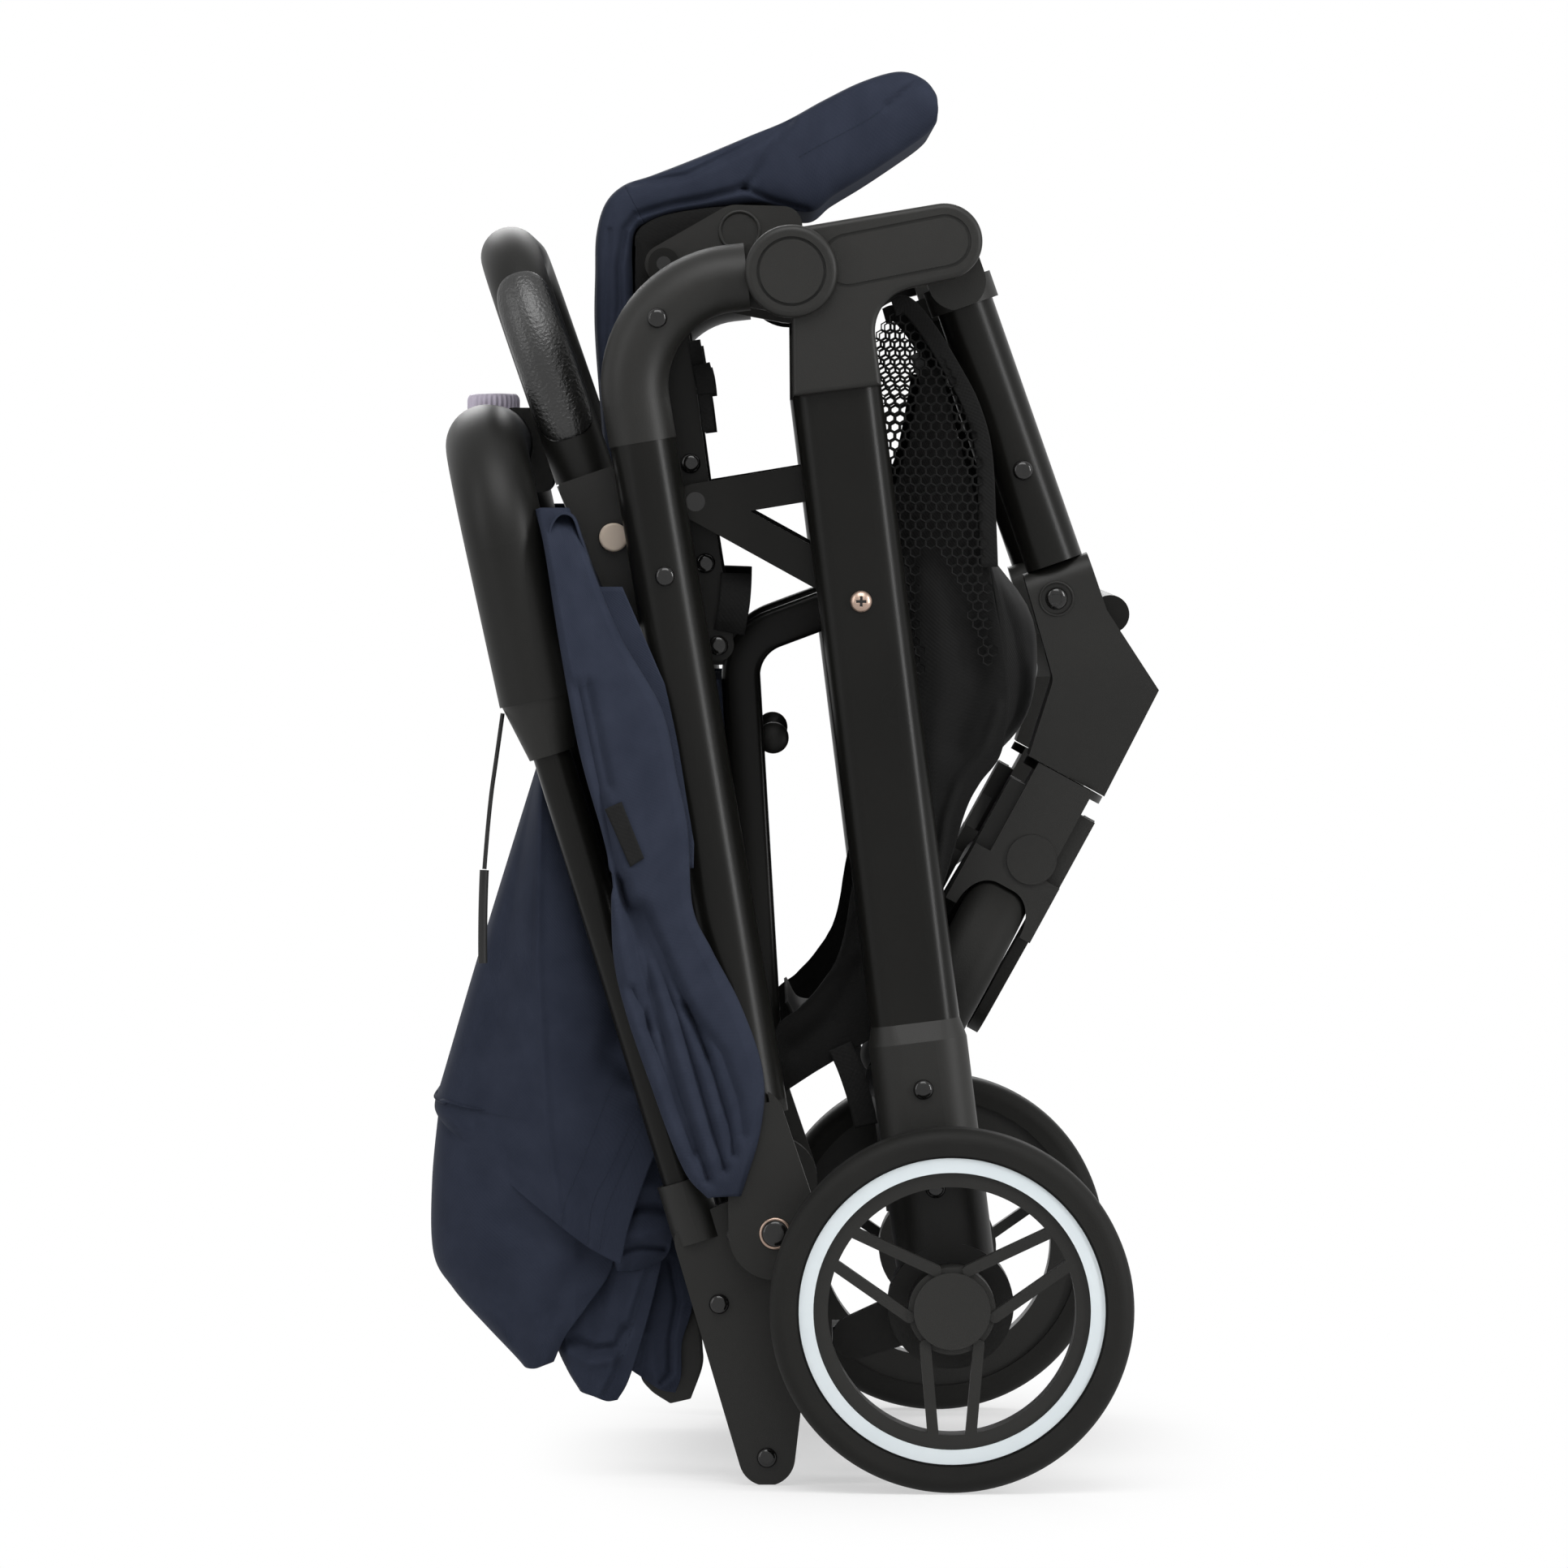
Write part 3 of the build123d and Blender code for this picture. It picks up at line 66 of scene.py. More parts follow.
# Catmull-Rom: each span is a cubic through its two points, with slopes taken from their neighbours
def throughPoints(points, count):
    p = np.asarray(points, float)
    p = np.vstack([2 * p[0] - p[1], p, 2 * p[-1] - p[-2]])
    t = np.linspace(0, len(p) - 3, count)
    i = np.minimum(t.astype(int), len(p) - 4)
    f = (t - i)[:, None]
    a, b, c, d = p[i], p[i + 1], p[i + 2], p[i + 3]
    return 0.5 * (2 * b + (c - a) * f + (2 * a - 5 * b + 4 * c - d) * f**2 + (3 * b - a - 3 * c + d) * f**3)


def unit(v):
    return v / np.maximum(np.linalg.norm(v, axis=-1, keepdims=True), 1e-12)


def meshPiece(name, points, faces, material):
    mesh = bpy.data.meshes.new(name)
    mesh.from_pydata(points.reshape(-1, 3).tolist(), [], faces.tolist())
    mesh.uv_layers.new(name="lengths")
    mesh.materials.append(material)
    piece = bpy.data.objects.new(name, mesh)
    scene.collection.objects.link(piece)
    return piece


# A grid of points becomes quads; the UV map holds lengths along both grid directions, in metres
def gridPiece(name, grid, material, closeU=False, flip=False):
    rows, cols = grid.shape[:2]
    index = np.arange(rows * cols).reshape(rows, cols)
    if closeU:
        index = np.hstack([index, index[:, :1]])
    faces = np.stack([index[:-1, :-1], index[:-1, 1:], index[1:, 1:], index[1:, :-1]], -1).reshape(-1, 4)
    stepU = np.linalg.norm(np.diff(grid, axis=1), axis=-1).mean(0)
    stepV = np.linalg.norm(np.diff(grid, axis=0), axis=-1).mean(1)
    u = np.append(np.concatenate([[0], np.cumsum(stepU)]), stepU.sum() + stepU.mean())
    v = np.concatenate([[0], np.cumsum(stepV)])
    across, down = np.meshgrid(u[:index.shape[1]], v)
    lengths = np.stack([across, down], -1)
    uv = np.stack([lengths[:-1, :-1], lengths[:-1, 1:], lengths[1:, 1:], lengths[1:, :-1]], 2).reshape(-1, 4, 2)
    if flip:
        faces, uv = faces[:, ::-1], uv[:, ::-1]
    piece = meshPiece(name, grid, faces, material)
    piece.data.uv_layers[0].data.foreach_set("uv", uv.astype(np.float32).ravel())
    piece.data.polygons.foreach_set("use_smooth", np.ones(len(faces), bool))
    return piece


# Both ends of a run of rings are drawn together to their middles
def withEnds(rings):
    first, last = (np.repeat(ring.mean(0)[None], len(ring), 0)[None] for ring in (rings[0], rings[-1]))
    return np.concatenate([first, rings, last])


# A closed profile carried along a path: each ring stands square to the path, with its height along Y
def sweepPiece(name, path, profile, material):
    along = unit(np.gradient(path, axis=0))
    across = unit(np.cross(along, (0.0, 1.0, 0.0)))
    lift = np.cross(across, along)
    rings = path[:, None] + (profile[None, :, :1] * across[:, None] + profile[None, :, 1:] * lift[:, None])
    return gridPiece(name, withEnds(rings), material, closeU=True)


# A flat band's section: a superellipse, nearly a rectangle with rounded corners
def bandProfile(width, thickness, sides=16):
    turn = np.linspace(0, 2 * pi, sides, endpoint=False)
    c, s = np.cos(turn), np.sin(turn)
    x = 0.5 * width * np.sign(c) * np.abs(c) ** 0.35
    y = 0.5 * thickness * np.sign(s) * np.abs(s) ** 0.35
    return np.stack([x, y], -1)


def addModifier(piece, kind, **values):
    modifier = piece.modifiers.new(kind.lower(), kind)
    for key, value in values.items():
        setattr(modifier, key, value)


def attach(piece, body):
    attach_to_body(piece, body)


def gridArea(grid):
    a = grid[1:, 1:] - grid[:-1, :-1]
    b = grid[1:, :-1] - grid[:-1, 1:]
    return float(0.5 * np.linalg.norm(np.cross(a, b), axis=-1).sum())


# Side-view points (x, z) in millimetres at one depth
def atDepth(points, depth):
    points = np.asarray(points, float)
    return np.stack([points[:, 0], np.full(len(points), depth), points[:, 1]], -1) / 1000


# From 0 at the start to 1 after the reach, which may be negative
def rampUp(value, start, reach):
    return np.clip((value - start) / reach, 0, 1)


# Camera, floor and light
viewSettings = {
    "place": (-0.0173, -5.322, 0.430), "target": (-0.0053, -0.222, 0.2913),
    "lens": 285.0, "sensor": 36.0, "clip": 60.0,
}


# A camera or lamp looks along its own -Z, which is turned to the target
def aimAt(holder, place, target):
    aim = np.subtract(target, place)
    holder.location = place
    holder.rotation_euler = (np.arctan2(np.hypot(aim[0], aim[1]), -aim[2]), 0.0, np.arctan2(-aim[0], aim[1]))
    scene.collection.objects.link(holder)


def makeCamera():
    lens = bpy.data.cameras.new("photoLens")
    lens.lens = viewSettings["lens"]
    lens.sensor_width = viewSettings["sensor"]
    lens.clip_end = viewSettings["clip"]
    camera = bpy.data.objects.new("photoCamera", lens)
    aimAt(camera, viewSettings["place"], viewSettings["target"])
    scene.camera = camera


def setInputs(node, values):
    for label, value in values.items():
        node.inputs[label].default_value = value


def mathNode(tree, operation, *values):
    node = tree.nodes.new("ShaderNodeMath")
    node.operation = operation
    for socket, value in zip(node.inputs, values):
        if isinstance(value, (int, float)):
            socket.default_value = value
        else:
            tree.links.new(value, socket)
    return node.outputs[0]


# Rays that show the background: seen directly, in a reflection or through a clear piece
def seenRays(tree):
    rays = tree.nodes.new("ShaderNodeLightPath")
    seen = mathNode(tree, "MAXIMUM", rays.outputs["Is Camera Ray"], rays.outputs["Is Glossy Ray"])
    return mathNode(tree, "MAXIMUM", seen, rays.outputs["Is Transmission Ray"])


lightSettings = {
    "world": 0.25, "target": (0.0, 0.0, 0.3),
    "lamps": {
        "softFront": {"place": (0.4, -3.2, 2.6), "size": (2.2, 1.4), "power": 9.0},
        "stripRight": {"place": (2.3, -1.5, 0.7), "size": (0.42, 2.2), "power": 50.0},
        "stripLeft": {"place": (-2.3, -1.4, 1.2), "size": (0.6, 2.0), "power": 15.0},
        "above": {"place": (0.0, -0.95, 1.5), "size": (1.0, 0.8), "power": 13.0},
        "softBack": {"place": (-0.4, 3.2, 2.2), "size": (2.2, 1.4), "power": 70.0},
    },
}


def makeLights():
    world = bpy.data.worlds.new("studio")
    scene.world = world
    world.use_nodes = True
    nodes, links = world.node_tree.nodes, world.node_tree.links
    light, white = nodes["Background"], nodes.new("ShaderNodeBackground")
    setInputs(light, {"Strength": lightSettings["world"], "Color": (1, 1, 1, 1)})
    setInputs(white, {"Strength": 1.0, "Color": (1, 1, 1, 1)})
    pick = nodes.new("ShaderNodeMixShader")
    links.new(seenRays(world.node_tree), pick.inputs["Fac"])
    links.new(light.outputs["Background"], pick.inputs[1])
    links.new(white.outputs["Background"], pick.inputs[2])
    links.new(pick.outputs["Shader"], nodes["World Output"].inputs["Surface"])
    for name, values in lightSettings["lamps"].items():
        lamp = bpy.data.lights.new(name, "AREA")
        lamp.shape = "RECTANGLE"
        lamp.size, lamp.size_y = values["size"]
        lamp.energy = values["power"]
        aimAt(bpy.data.objects.new(name, lamp), values["place"], lightSettings["target"])


# Pale paper that takes the real shadow in an oval under the stroller, where its grey is also a painted shadow, and
# turns to plain white further out
floorSettings = {
    "paper": {"Base Color": (0.95, 0.95, 0.95, 1), "Roughness": 0.9, "Specular IOR Level": 0.1},
    # middle, spread, fade and lift place, size and darken the painted shadow oval; lift is the share of white left in
    # its middle
    "middle": 0.042, "spread": (0.165, 0.5), "fade": 0.25, "lift": 0.45, "extent": 14.0, "height": -0.0004,
}


def makeFloor():
    paper = bpy.data.materials.new("floorPaper")
    paper.use_nodes = True
    tree = paper.node_tree
    shader = tree.nodes["Principled BSDF"]
    setInputs(shader, floorSettings["paper"])
    place = tree.nodes.new("ShaderNodeTexCoord")
    spread = tree.nodes.new("ShaderNodeMapping")
    width, depth = floorSettings["spread"]
    setInputs(spread, {"Location": (-floorSettings["middle"] / width, 0, 0), "Scale": (1 / width, 1 / depth, 0)})
    tree.links.new(place.outputs["Object"], spread.inputs["Vector"])
    reach = tree.nodes.new("ShaderNodeVectorMath")
    reach.operation = "LENGTH"
    tree.links.new(spread.outputs["Vector"], reach.inputs[0])
    # Painted shadow: the lit paper shows grey inside the oval, and white emission takes over outside it
    fade = tree.nodes.new("ShaderNodeMapRange")
    fade.interpolation_type = "SMOOTHSTEP"
    setInputs(fade, {"From Min": floorSettings["fade"], "From Max": 1.0, "To Min": floorSettings["lift"]})
    tree.links.new(reach.outputs["Value"], fade.inputs["Value"])
    mask = mathNode(tree, "MULTIPLY", fade.outputs["Result"], seenRays(tree))
    white = tree.nodes.new("ShaderNodeEmission")
    pick = tree.nodes.new("ShaderNodeMixShader")
    tree.links.new(mask, pick.inputs["Fac"])
    tree.links.new(shader.outputs["BSDF"], pick.inputs[1])
    tree.links.new(white.outputs["Emission"], pick.inputs[2])
    tree.links.new(pick.outputs["Shader"], tree.nodes["Material Output"].inputs["Surface"])
    extent = np.linspace(-floorSettings["extent"], floorSettings["extent"], 9)
    x, y = np.meshgrid(extent, extent)
    gridPiece("floor", np.stack([x, y, np.full(x.shape, floorSettings["height"])], -1), paper)


scene.view_settings.view_transform = "Standard"
makeCamera()
makeLights()
makeFloor()
print("camera, light and floor ready")


# Shader groups that several finishes share
def newGroup(name, inputs, outputs):
    group = bpy.data.node_groups.new(name, "ShaderNodeTree")
    for label, value in inputs:
        group.interface.new_socket(label, in_out="INPUT", socket_type="NodeSocketFloat").default_value = value
    for label in outputs:
        group.interface.new_socket(label, in_out="OUTPUT", socket_type="NodeSocketFloat")
    return group, group.nodes.new("NodeGroupInput"), group.nodes.new("NodeGroupOutput")


# Moulded or painted grain: fine noise for the bump, broad noise for patches of wear
def makeGrainGroup():
    group, given, made = newGroup("surfaceGrain", [("Scale", 900.0), ("Patch", 14.0)], ["Height", "Patchiness"])
    place = group.nodes.new("ShaderNodeTexCoord")
    fine = group.nodes.new("ShaderNodeTexNoise")
    fine.inputs["Detail"].default_value = 3.0
    broad = group.nodes.new("ShaderNodeTexNoise")
    broad.inputs["Detail"].default_value = 4.0
    for node, label in ((fine, "Scale"), (broad, "Patch")):
        group.links.new(place.outputs["Object"], node.inputs["Vector"])
        group.links.new(given.outputs[label], node.inputs["Scale"])
    group.links.new(fine.outputs["Fac"], made.inputs["Height"])
    group.links.new(broad.outputs["Fac"], made.inputs["Patchiness"])
    return group


# Plain weave: two thread waves at right angles on the piece's own lengths, lifted over and under
def makeWeaveGroup():
    group, given, made = newGroup("plainWeave", [("Threads", 1300.0), ("Slub", 90.0)], ["Height", "Shade"])
    place = group.nodes.new("ShaderNodeUVMap")
    place.uv_map = "lengths"
    split = group.nodes.new("ShaderNodeSeparateXYZ")
    group.links.new(place.outputs["UV"], split.inputs["Vector"])
    waves = []
    for axis in ("X", "Y"):
        phase = mathNode(group, "MULTIPLY", split.outputs[axis], given.outputs["Threads"])
        waves.append(mathNode(group, "SINE", mathNode(group, "MULTIPLY", phase, pi)))
    cross = mathNode(group, "MULTIPLY", waves[0], waves[1])
    height = mathNode(group, "MULTIPLY_ADD", cross, 0.5, 0.5)
    slub = group.nodes.new("ShaderNodeTexNoise")
    slub.inputs["Detail"].default_value = 5.0
    group.links.new(place.outputs["UV"], slub.inputs["Vector"])
    group.links.new(given.outputs["Slub"], slub.inputs["Scale"])
    group.links.new(height, made.inputs["Height"])
    group.links.new(slub.outputs["Fac"], made.inputs["Shade"])
    return group


surfaceGrain = makeGrainGroup()
plainWeave = makeWeaveGroup()


# The part of the noise over which a finish goes from its first to its second colour or roughness
patchSettings = {"colour": (0.3, 0.7), "value": (0.25, 0.75)}


def colourRange(tree, source, colours):
    ramp = tree.nodes.new("ShaderNodeValToRGB")
    for element, position, colour in zip(ramp.color_ramp.elements, patchSettings["colour"], colours):
        element.position = position
        element.color = (*colour, 1)
    tree.links.new(source, ramp.inputs["Fac"])
    return ramp.outputs["Color"]


def valueRange(tree, source, values):
    node = tree.nodes.new("ShaderNodeMapRange")
    setInputs(node, dict(zip(("From Min", "From Max", "To Min", "To Max"), (*patchSettings["value"], *values))))
    tree.links.new(source, node.inputs["Value"])
    return node.outputs["Result"]


def makeFinish(name, group, inputs, values):
    finish = bpy.data.materials.new(name)
    finish.use_nodes = True
    tree = finish.node_tree
    shader = tree.nodes["Principled BSDF"]
    effect = tree.nodes.new("ShaderNodeGroup")
    effect.node_tree = group
    setInputs(effect, inputs)
    spread = effect.outputs[1]
    tree.links.new(colourRange(tree, spread, (values["dark"], values["light"])), shader.inputs["Base Color"])
    tree.links.new(valueRange(tree, spread, values["rough"]), shader.inputs["Roughness"])
    bump = tree.nodes.new("ShaderNodeBump")
    setInputs(bump, {"Strength": values["bump"], "Distance": values["depth"]})
    tree.links.new(effect.outputs["Height"], bump.inputs["Height"])
    tree.links.new(bump.outputs["Normal"], shader.inputs["Normal"])
    setInputs(shader, {label: value for label, value in values.items() if label in shader.inputs})
    return finish


# The scale holds a pattern's two numbers: grain and patches, or for cloth threads and slubs
finishSettings = {
    "painted_tube": {"scale": (2600, 9), "dark": (0.0046, 0.0045, 0.0040), "light": (0.0076, 0.0074, 0.0066),
                     "rough": (0.26, 0.34), "bump": 0.10, "depth": 0.0002, "Specular IOR Level": 0.14},
    "moulded_black": {"scale": (3200, 12), "dark": (0.0072, 0.0070, 0.0062), "light": (0.0112, 0.0109, 0.0097),
                      "rough": (0.42, 0.54), "bump": 0.22, "depth": 0.0002, "Specular IOR Level": 0.28},
    "tyre_black": {"scale": (1500, 16), "dark": (0.0078, 0.0077, 0.0071), "light": (0.0124, 0.0122, 0.0112),
                   "rough": (0.56, 0.7), "bump": 0.25, "depth": 0.0003, "Specular IOR Level": 0.14},
    "pale_ring": {"scale": (1200, 20), "dark": (0.60, 0.655, 0.68), "light": (0.65, 0.70, 0.72),
                  "rough": (0.4, 0.5), "bump": 0.05, "depth": 0.0001, "Specular IOR Level": 0.3},
    "steel": {"scale": (1800, 40), "dark": (0.004, 0.0039, 0.0036), "light": (0.0075, 0.0072, 0.0068),
              "rough": (0.1, 0.16), "bump": 0.05, "depth": 0.0001, "Specular IOR Level": 0.4},
    "copper_screw": {"scale": (1800, 60), "dark": (0.30, 0.215, 0.17), "light": (0.42, 0.31, 0.25),
                     "rough": (0.26, 0.36), "bump": 0.05, "depth": 0.0001, "Metallic": 0.9},
    "grip_black": {"scale": (1700, 8), "dark": (0.0056, 0.0055, 0.0049), "light": (0.0086, 0.0084, 0.0076),
                   "rough": (0.42, 0.54), "bump": 0.15, "depth": 0.0002, "Specular IOR Level": 0.2},
    "pad_leather": {"scale": (760, 20), "dark": (0.005, 0.005, 0.0047), "light": (0.009, 0.009, 0.0086),
                    "rough": (0.24, 0.36), "bump": 0.75, "depth": 0.0005, "Specular IOR Level": 0.6},
    "cream": {"scale": (900, 30), "dark": (0.55, 0.46, 0.37), "light": (0.62, 0.52, 0.43),
              "rough": (0.3, 0.4), "bump": 0.05, "depth": 0.0001, "Specular IOR Level": 0.3},
    "lilac_grey": {"scale": (900, 30), "dark": (0.53, 0.48, 0.585), "light": (0.60, 0.55, 0.655),
                   "rough": (0.4, 0.5), "bump": 0.05, "depth": 0.0001, "Specular IOR Level": 0.3},
    "cord_black": {"scale": (2200, 60), "dark": (0.006, 0.006, 0.006), "light": (0.010, 0.010, 0.0098),
                   "rough": (0.45, 0.6), "bump": 0.2, "depth": 0.0002, "Specular IOR Level": 0.3},
}
clothSettings = {
    "navy_cloth": {"scale": (1250, 60), "dark": (0.0200, 0.0242, 0.0385), "light": (0.0276, 0.0328, 0.0505),
                   "rough": (0.72, 0.86), "bump": 0.22, "depth": 0.00025, "Specular IOR Level": 0.06,
                   "Sheen Weight": 0.008, "Sheen Roughness": 0.4},
    "black_cloth": {"scale": (1100, 60), "dark": (0.0042, 0.0042, 0.0041), "light": (0.0072, 0.0072, 0.007),
                    "rough": (0.74, 0.88), "bump": 0.3, "depth": 0.0003, "Specular IOR Level": 0.12,
                    "Sheen Weight": 0.03, "Sheen Roughness": 0.5},
    "navy_thread": {"scale": (2400, 200), "dark": (0.012, 0.016, 0.028), "light": (0.017, 0.022, 0.036),
                    "rough": (0.6, 0.75), "bump": 0.3, "depth": 0.0001, "Specular IOR Level": 0.2},
    "webbing": {"scale": (950, 120), "dark": (0.0045, 0.0045, 0.0044), "light": (0.009, 0.009, 0.0088),
                "rough": (0.7, 0.85), "bump": 0.4, "depth": 0.0003, "Specular IOR Level": 0.16},
}
finishes = {}
for group, labels, settings in ((surfaceGrain, ("Scale", "Patch"), finishSettings),
                                (plainWeave, ("Threads", "Slub"), clothSettings)):
    for label, values in settings.items():
        finishes[label] = makeFinish(label, group, dict(zip(labels, values["scale"])), values)
finishes["net_black"] = finishes["black_cloth"]

for entry in frame["record"]["subparts"]:
    shown = frame["nodes"][entry["node"]]
    shown.data.materials.clear()
    shown.data.materials.append(finishes[entry["material_slot"]])
print("finishes ready:", len(finishes))


# Release cable and its sleeve: the route's own points carry a smooth NURBS line
cableSettings = {
    "cable": [(-121.7, 319.5), (-124.0, 303.0), (-127.4, 280.0), (-129.3, 255.0)],
    "sleeve": [(-129.35, 254.6), (-130.2, 236.0), (-130.0, 216.0)],
    "depth": -183.0, "cableRadius": 0.0009, "sleeveRadius": 0.0019,
}


def makeCord(name, route, radius):
    curve = bpy.data.curves.new(name, "CURVE")
    curve.dimensions = "3D"
    curve.bevel_depth = radius
    curve.bevel_resolution = 4
    curve.use_fill_caps = True
    line = curve.splines.new("NURBS")
    points = atDepth(route, cableSettings["depth"])
    line.points.add(len(points) - 1)
    line.points.foreach_set("co", np.hstack([points, np.ones((len(points), 1))]).ravel())
    line.order_u = 3
    line.use_endpoint_u = True
    line.resolution_u = 16
    piece = bpy.data.objects.new(name, curve)
    scene.collection.objects.link(piece)
    curve.materials.append(finishes["cord_black"])
    return piece, points


cable, cablePoints = makeCord("releaseCable", cableSettings["cable"], cableSettings["cableRadius"])
sleeve = makeCord("cableSleeve", cableSettings["sleeve"], cableSettings["sleeveRadius"])[0]
for piece, node in ((cable, "release_cable"), (sleeve, "cable_sleeve")):
    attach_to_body(piece, "handle")
    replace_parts(piece, node)
print("cables laid")


# Soft sheets are lofted: smooth curves down the cloth, then a smooth line across them. Places are
# (x, outward, z) in millimetres, with outward measured from the middle plane.
def loftHalf(curves, rows, cols):
    down = np.stack([throughPoints(curve, rows) for curve in curves])
    return throughPoints(down.reshape(len(curves), -1), cols).reshape(cols, rows, 3).transpose(1, 0, 2)


# Shortest distance of side-view points to a broken line
def lineDistance(points, line):
    start, end = np.asarray(line[:-1], float), np.asarray(line[1:], float)
    step = end - start
    share = np.einsum("...ij,ij->...i", points[..., None, :] - start, step) / (step**2).sum(-1)
    near = start + np.clip(share, 0, 1)[..., None] * step
    return np.linalg.norm(points[..., None, :] - near, axis=-1).min(-1)


# Each crease is a rounded rise or hollow along its line: height times exp(-(distance / width) squared)
def creaseLift(half, creases):
    spots = half[..., [0, 2]]
    lift = np.zeros(half.shape[:2])
    for line, height, width in creases:
        lift += height * np.exp(-(lineDistance(spots, line) / width) ** 2)
    return lift


def mirrored(half, sign):
    grid = half.copy()
    grid[..., 1] *= sign
    return grid / 1000


# The near and far halves meet at the middle plane and make one U-shaped sheet
def wholeSheet(half):
    near, far = mirrored(half, -1), mirrored(half, 1)
    return np.concatenate([near, far[:, -2::-1]], 1)


# Stitches: rows of short threads, each a slim six-sided spindle lying on the sheet, alike on both sides
stitchSettings = {
    "pitch": 2.3, "length": 1.5, "radius": 0.16, "above": 0.1, "ahead": 0.3, "corners": 6,
    "ends": (-0.5, -0.3, 0.3, 0.5), "taper": (0.2, 1.0, 1.0, 0.2),
}


def makeStitches(name, half, lines, body):
    values = stitchSettings
    corners, pitch = values["corners"], values["pitch"]
    middles, ways = [], []
    for line in lines:
        path = throughPoints(line, 400)
        run = np.concatenate([[0], np.cumsum(np.linalg.norm(np.diff(path, axis=0), axis=1))])
        at = np.arange(pitch / 2, run[-1], pitch)
        here, ahead = (np.stack([np.interp(spot, run, path[:, k]) for k in (0, 1)], -1)
                       for spot in (at, np.minimum(at + values["ahead"], run[-1])))
        middles.append(here)
        ways.append(unit(ahead - here))
    middle, way = np.concatenate(middles), np.concatenate(ways)
    nearest = ((middle[:, None] - half[..., [0, 2]].reshape(-1, 2)) ** 2).sum(-1).argmin(1)
    out = half[..., 1].ravel()[nearest]
    square = np.stack([-way[:, 1], way[:, 0]], -1)
    ends = np.array(values["ends"]) * values["length"]
    thick = np.array(values["taper"])[:, None] * values["radius"]
    turn = np.linspace(0, 2 * pi, corners, endpoint=False)
    flat = (middle[:, None, None] + ends[None, :, None, None] * way[:, None, None]
            + (thick * np.cos(turn))[None, ..., None] * square[:, None, None])
    rise = out[:, None, None] + values["above"] + (thick * np.sin(turn))[None]
    corner = np.arange(corners)
    ring = np.stack([corner, np.roll(corner, -1)], -1)
    quad = np.concatenate([np.hstack([ring + corners * k, ring[:, ::-1] + corners * (k + 1)])
                           for k in range(len(ends) - 1)])
    thread = corners * len(ends)
    faces = (quad[None] + thread * np.arange(len(middle))[:, None, None]).reshape(-1, 4)
    places, quads = [], []
    for count, (label, sign) in enumerate(bothSides):
        places.append(np.stack([flat[..., 0], sign * rise, flat[..., 1]], -1).reshape(-1, 3) / 1000)
        quads.append((faces if sign > 0 else faces[:, ::-1]) + count * thread * len(middle))
    stitches = meshPiece(name, np.concatenate(places), np.concatenate(quads), finishes["navy_thread"])
    attach(stitches, body)


